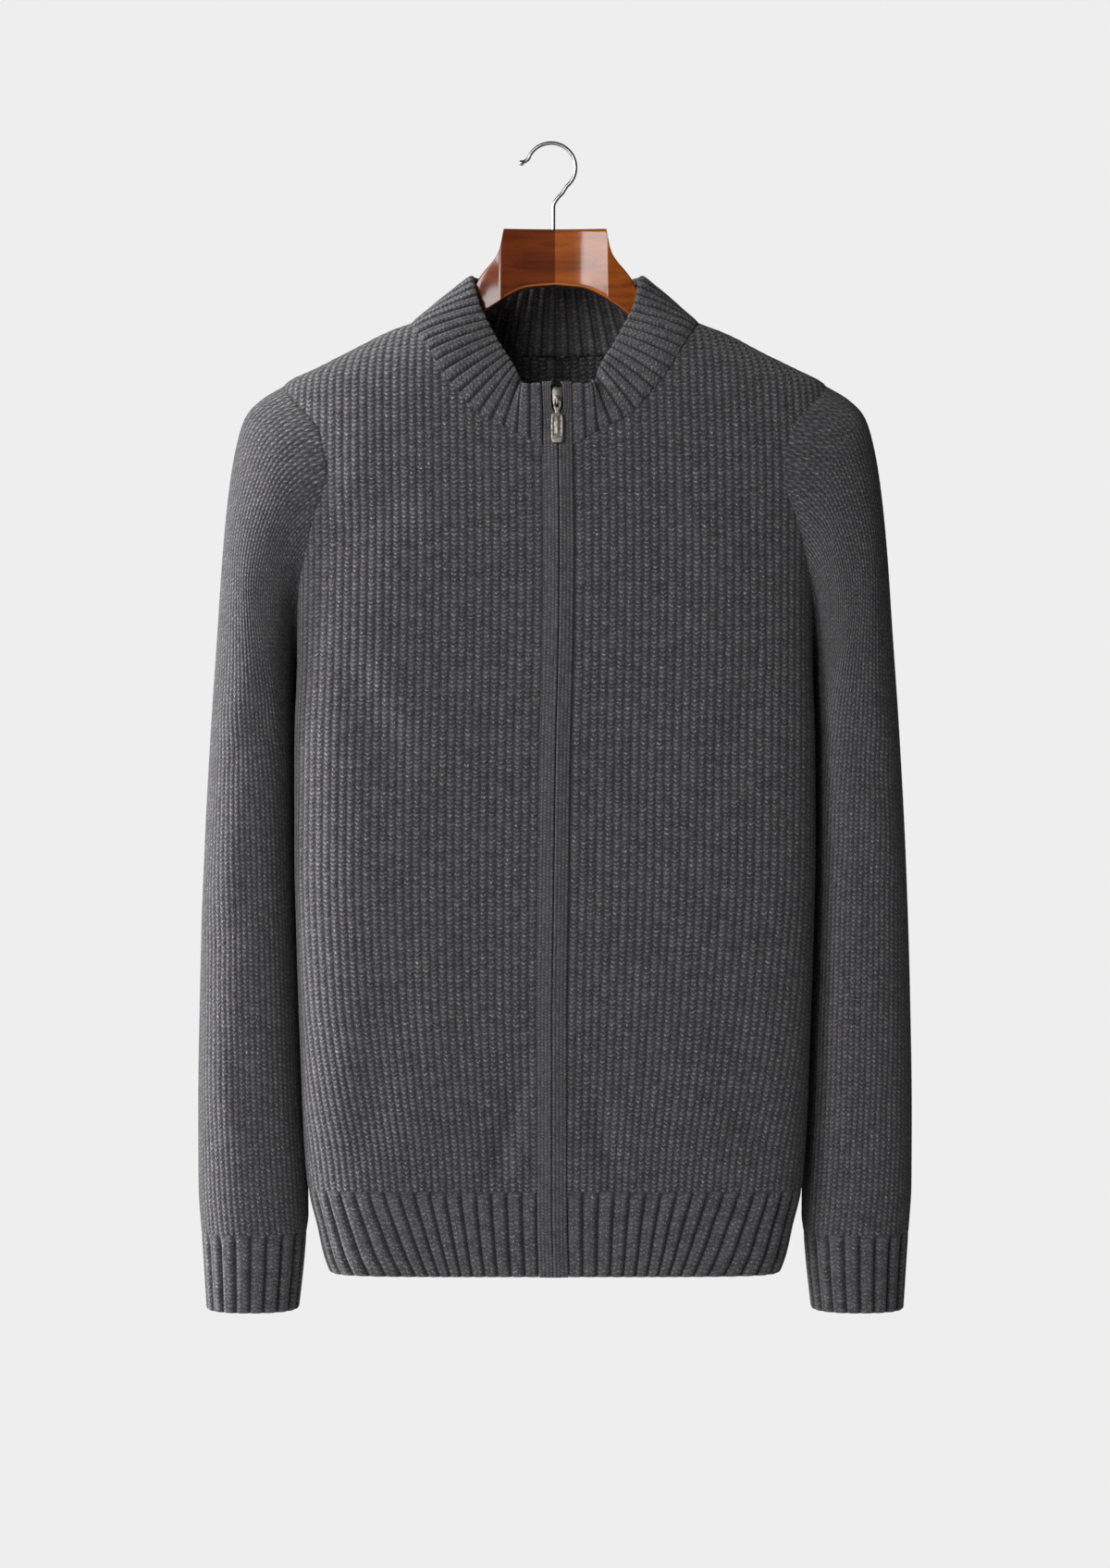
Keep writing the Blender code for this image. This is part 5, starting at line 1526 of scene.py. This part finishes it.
def prism(outline, low, high, axis="y"):
    """Points and faces of a closed prism from a flat outline."""
    count = len(outline)
    points = [(first, level, second) if axis == "y" else (level, first, second)
              for level in (low, high) for first, second in outline]
    faces = [list(range(count)), list(range(count, 2 * count))]
    faces += [(k, (k + 1) % count, (k + 1) % count + count, k + count) for k in range(count)]
    return points, faces


def metal_piece(name, shapes, bevel):
    """One bevelled metal object from several closed shapes drawn in the slider's own axes."""
    joined = bmesh.new()
    for points, faces in shapes:
        made = [joined.verts.new((SLIDER_FRAME @ Vector(point)) * MM) for point in points]
        for face in faces:
            joined.faces.new([made[k] for k in face])
    bmesh.ops.recalc_face_normals(joined, faces=joined.faces)
    edges = [edge for edge in joined.edges if len(edge.link_faces) == 2 and edge.calc_face_angle(0) > 0.5]
    bmesh.ops.bevel(joined, geom=edges, offset=bevel * MM, segments=2, profile=0.6, affect="EDGES",
                    clamp_overlap=True)
    mesh = bpy.data.meshes.new(name)
    joined.to_mesh(mesh)
    joined.free()
    mesh.shade_smooth()
    mesh.set_sharp_from_angle(angle=math.radians(45))
    mesh.materials.append(NICKEL)
    return placed(name, mesh)


def make_slider():
    half = [(2.9, -6.2), (3.3, -3), (3.65, 2.4), (3.3, 5), (2.2, 6.0)]
    face = half + [(-x, z) for x, z in half[::-1]]
    bridge = [(0.2, -7.3), (2.4, -7.3), (3.5, -6.2), (3.7, -4.0), (3.5, -1.6), (2.4, -0.5), (0.2, -0.5),
              (0.2, -1.6), (1.9, -1.6), (2.7, -2.4), (2.7, -5.3), (1.9, -6.1), (0.2, -6.1)]
    stem = [(-2.2, -5.2), (2.2, -5.2), (2.2, 4.8), (-2.2, 4.8)]
    wing = [(-3.4, -3), (-2.4, -3), (-2.4, 4.4), (-3.4, 4.4)]
    wing_right = [(-x, z) for x, z in wing[::-1]]
    shapes = [prism(face, -0.9, 0.6), prism(stem, -8.1, -0.8), prism(bridge, -0.9, 0.9, "x"),
              prism(wing, -2.4, -0.8), prism(wing_right, -2.4, -0.8)]
    stand_in(metal_piece("slider_body", shapes, 0.22), "zip_slider")


def ring_shape(outline, hole, low, high):
    """Closed plate with a hole: both outlines have the same number of points."""
    count = len(outline)
    points = [(x, level, z) for level in (low, high) for x, z in outline]
    points += [(x, level, z) for level in (low, high) for x, z in hole]
    faces = []
    for k in range(count):
        following = (k + 1) % count
        faces.append((k, following, following + count, k + count))
        faces.append((2 * count + k, 2 * count + following, 3 * count + following, 3 * count + k))
        faces.append((k, following, 2 * count + following, 2 * count + k))
        faces.append((count + k, count + following, 3 * count + following, 3 * count + k))
    return points, faces


def oval(centre_x, centre_z, half_x, half_z, count, square):
    """Rounded rectangle as a list of points."""
    turns = 2 * math.pi * np.arange(count) / count
    return [(centre_x + half_x * reach * math.cos(turn), centre_z + half_z * reach * math.sin(turn))
            for turn, reach in zip(turns, squared(turns, square))]


def make_pull():
    out, thick = 1.75, 1.2
    eye_top = PULL_PIVOT + 0.55
    eye_low = PULL_PIVOT - 7.4
    grip_top = PULL_PIVOT - 9.6
    foot = PULL_PIVOT - PULL_LENGTH
    grip_mid, grip_half = (grip_top + foot) / 2, (grip_top - foot) / 2
    eye = ring_shape(oval(0, (eye_top + eye_low) / 2, 2.7, (eye_top - eye_low) / 2, 24, 3.0),
                     oval(0, (PULL_PIVOT - 0.55 + PULL_PIVOT - 5.2) / 2, 1.6, 2.32, 24, 3.0),
                     out - thick / 2, out + thick / 2)
    neck = prism([(-1.9, grip_top - 1.0), (1.9, grip_top - 1.0), (1.5, grip_top + 1.4), (2.1, eye_low + 1.2),
                  (-2.1, eye_low + 1.2), (-1.5, grip_top + 1.4)], out - 0.5, out + 0.5)
    rails = ring_shape(oval(0, grip_mid, 4.4, grip_half, 32, 7.0),
                       oval(0, grip_mid + 1.9, 2.5, grip_half - 4.0, 32, 8.0),
                       out - thick / 2, out + thick / 2 + 0.15)
    panel = prism([(-2.9, foot + 4.0), (2.9, foot + 4.0), (2.9, grip_top - 1.4), (-2.9, grip_top - 1.4)],
                  out - 0.45, out + 0.12)
    spine = prism([(-0.75, foot + 5.2), (0.75, foot + 5.2), (0.75, grip_top - 2.6), (-0.75, grip_top - 2.6)],
                  out + 0.0, out + 0.5)
    pull = metal_piece("pull_tab_grip", [eye, neck, rails, panel, spine], 0.16)
    stand_in(pull, "zip_pull", body="pull_tab")


make_slider()
make_pull()


# ------------------------------------------------------------------ studio
# A pale seamless floor, a strong soft light beside the wearer's right sleeve, two weaker upright ones between
# it and the camera, and the camera square in front.

BACKDROP = 0.855            # linear value of the pale backdrop
FILL = 0.055                # strength of the light that comes from all around
FLOOR_HALF, FLOOR_HEIGHT = 6000, -1500
CAMERA_DISTANCE = 3.2
VIEW_HEIGHT = 1.1526        # height of the picture at the object
VIEW_MIDDLE = -0.4695


def split_by_eye(tree, lighting, seen, ending):
    """Ends a tree in one shader that lights the object and another that only the camera sees."""
    path = node(tree, "ShaderNodeLightPath")
    choose = node(tree, "ShaderNodeMixShader", in_0=path.outputs["Is Camera Ray"], in_1=lighting.outputs[0],
                  in_2=seen.outputs[0])
    node(tree, ending, in_0=choose.outputs[0])


def make_backdrop():
    pale = (BACKDROP, BACKDROP, BACKDROP, 1)
    world = bpy.data.worlds.new("studio")
    bpy.context.scene.world = world
    world.use_nodes = True
    tree = world.node_tree
    tree.nodes.clear()
    split_by_eye(tree, node(tree, "ShaderNodeBackground", in_0=(0.95, 0.97, 1.0, 1), in_1=FILL),
                 node(tree, "ShaderNodeBackground", in_0=pale, in_1=1.0), "ShaderNodeOutputWorld")
    material, tree, _ = new_material("pale_floor")
    tree.nodes.clear()
    split_by_eye(tree, node(tree, "ShaderNodeBsdfDiffuse", in_Color=(0.6, 0.6, 0.6, 1)),
                 node(tree, "ShaderNodeEmission", in_Color=pale, in_Strength=1.0), "ShaderNodeOutputMaterial")
    corners = [(x * FLOOR_HALF, y * FLOOR_HALF, FLOOR_HEIGHT)
               for x, y in ((-1, -1), (1, -1), (1, 1), (-1, 1))]
    piece_from("floor", corners, [(0, 1, 2, 3)], material)


def add_light(name, place, width, height, power, colour):
    """Soft upright light that faces the cardigan's middle."""
    data = bpy.data.lights.new(name, "AREA")
    data.shape = "RECTANGLE"
    data.size, data.size_y = width, height
    data.energy = power
    data.color = colour
    lamp = placed(name, data)
    lamp.location = place
    lamp.rotation_euler = (LIT_POINT - Vector(place)).to_track_quat("-Z", "Y").to_euler()


LIT_POINT = Vector((0.0, 0.0, -0.45))
make_backdrop()
add_light("key", (-2.95, 0.3, 0.25), 0.7, 1.9, 175, (1.0, 0.997, 0.99))
add_light("front", (-2.05, -2.5, 0.45), 0.9, 2.2, 62, (1.0, 0.99, 0.985))
add_light("strip", (-0.95, -3.0, 0.45), 0.55, 2.0, 27, (1.0, 0.99, 0.985))

camera_data = bpy.data.cameras.new("camera")
camera_data.sensor_width = 36.0
camera_data.lens = 36.0 * CAMERA_DISTANCE / VIEW_HEIGHT
camera = placed("camera", camera_data)
camera.location = (0.0, -CAMERA_DISTANCE, VIEW_MIDDLE)
camera.rotation_euler = (math.radians(90), 0, 0)
bpy.context.scene.camera = camera
bpy.context.scene.view_settings.view_transform = "Standard"
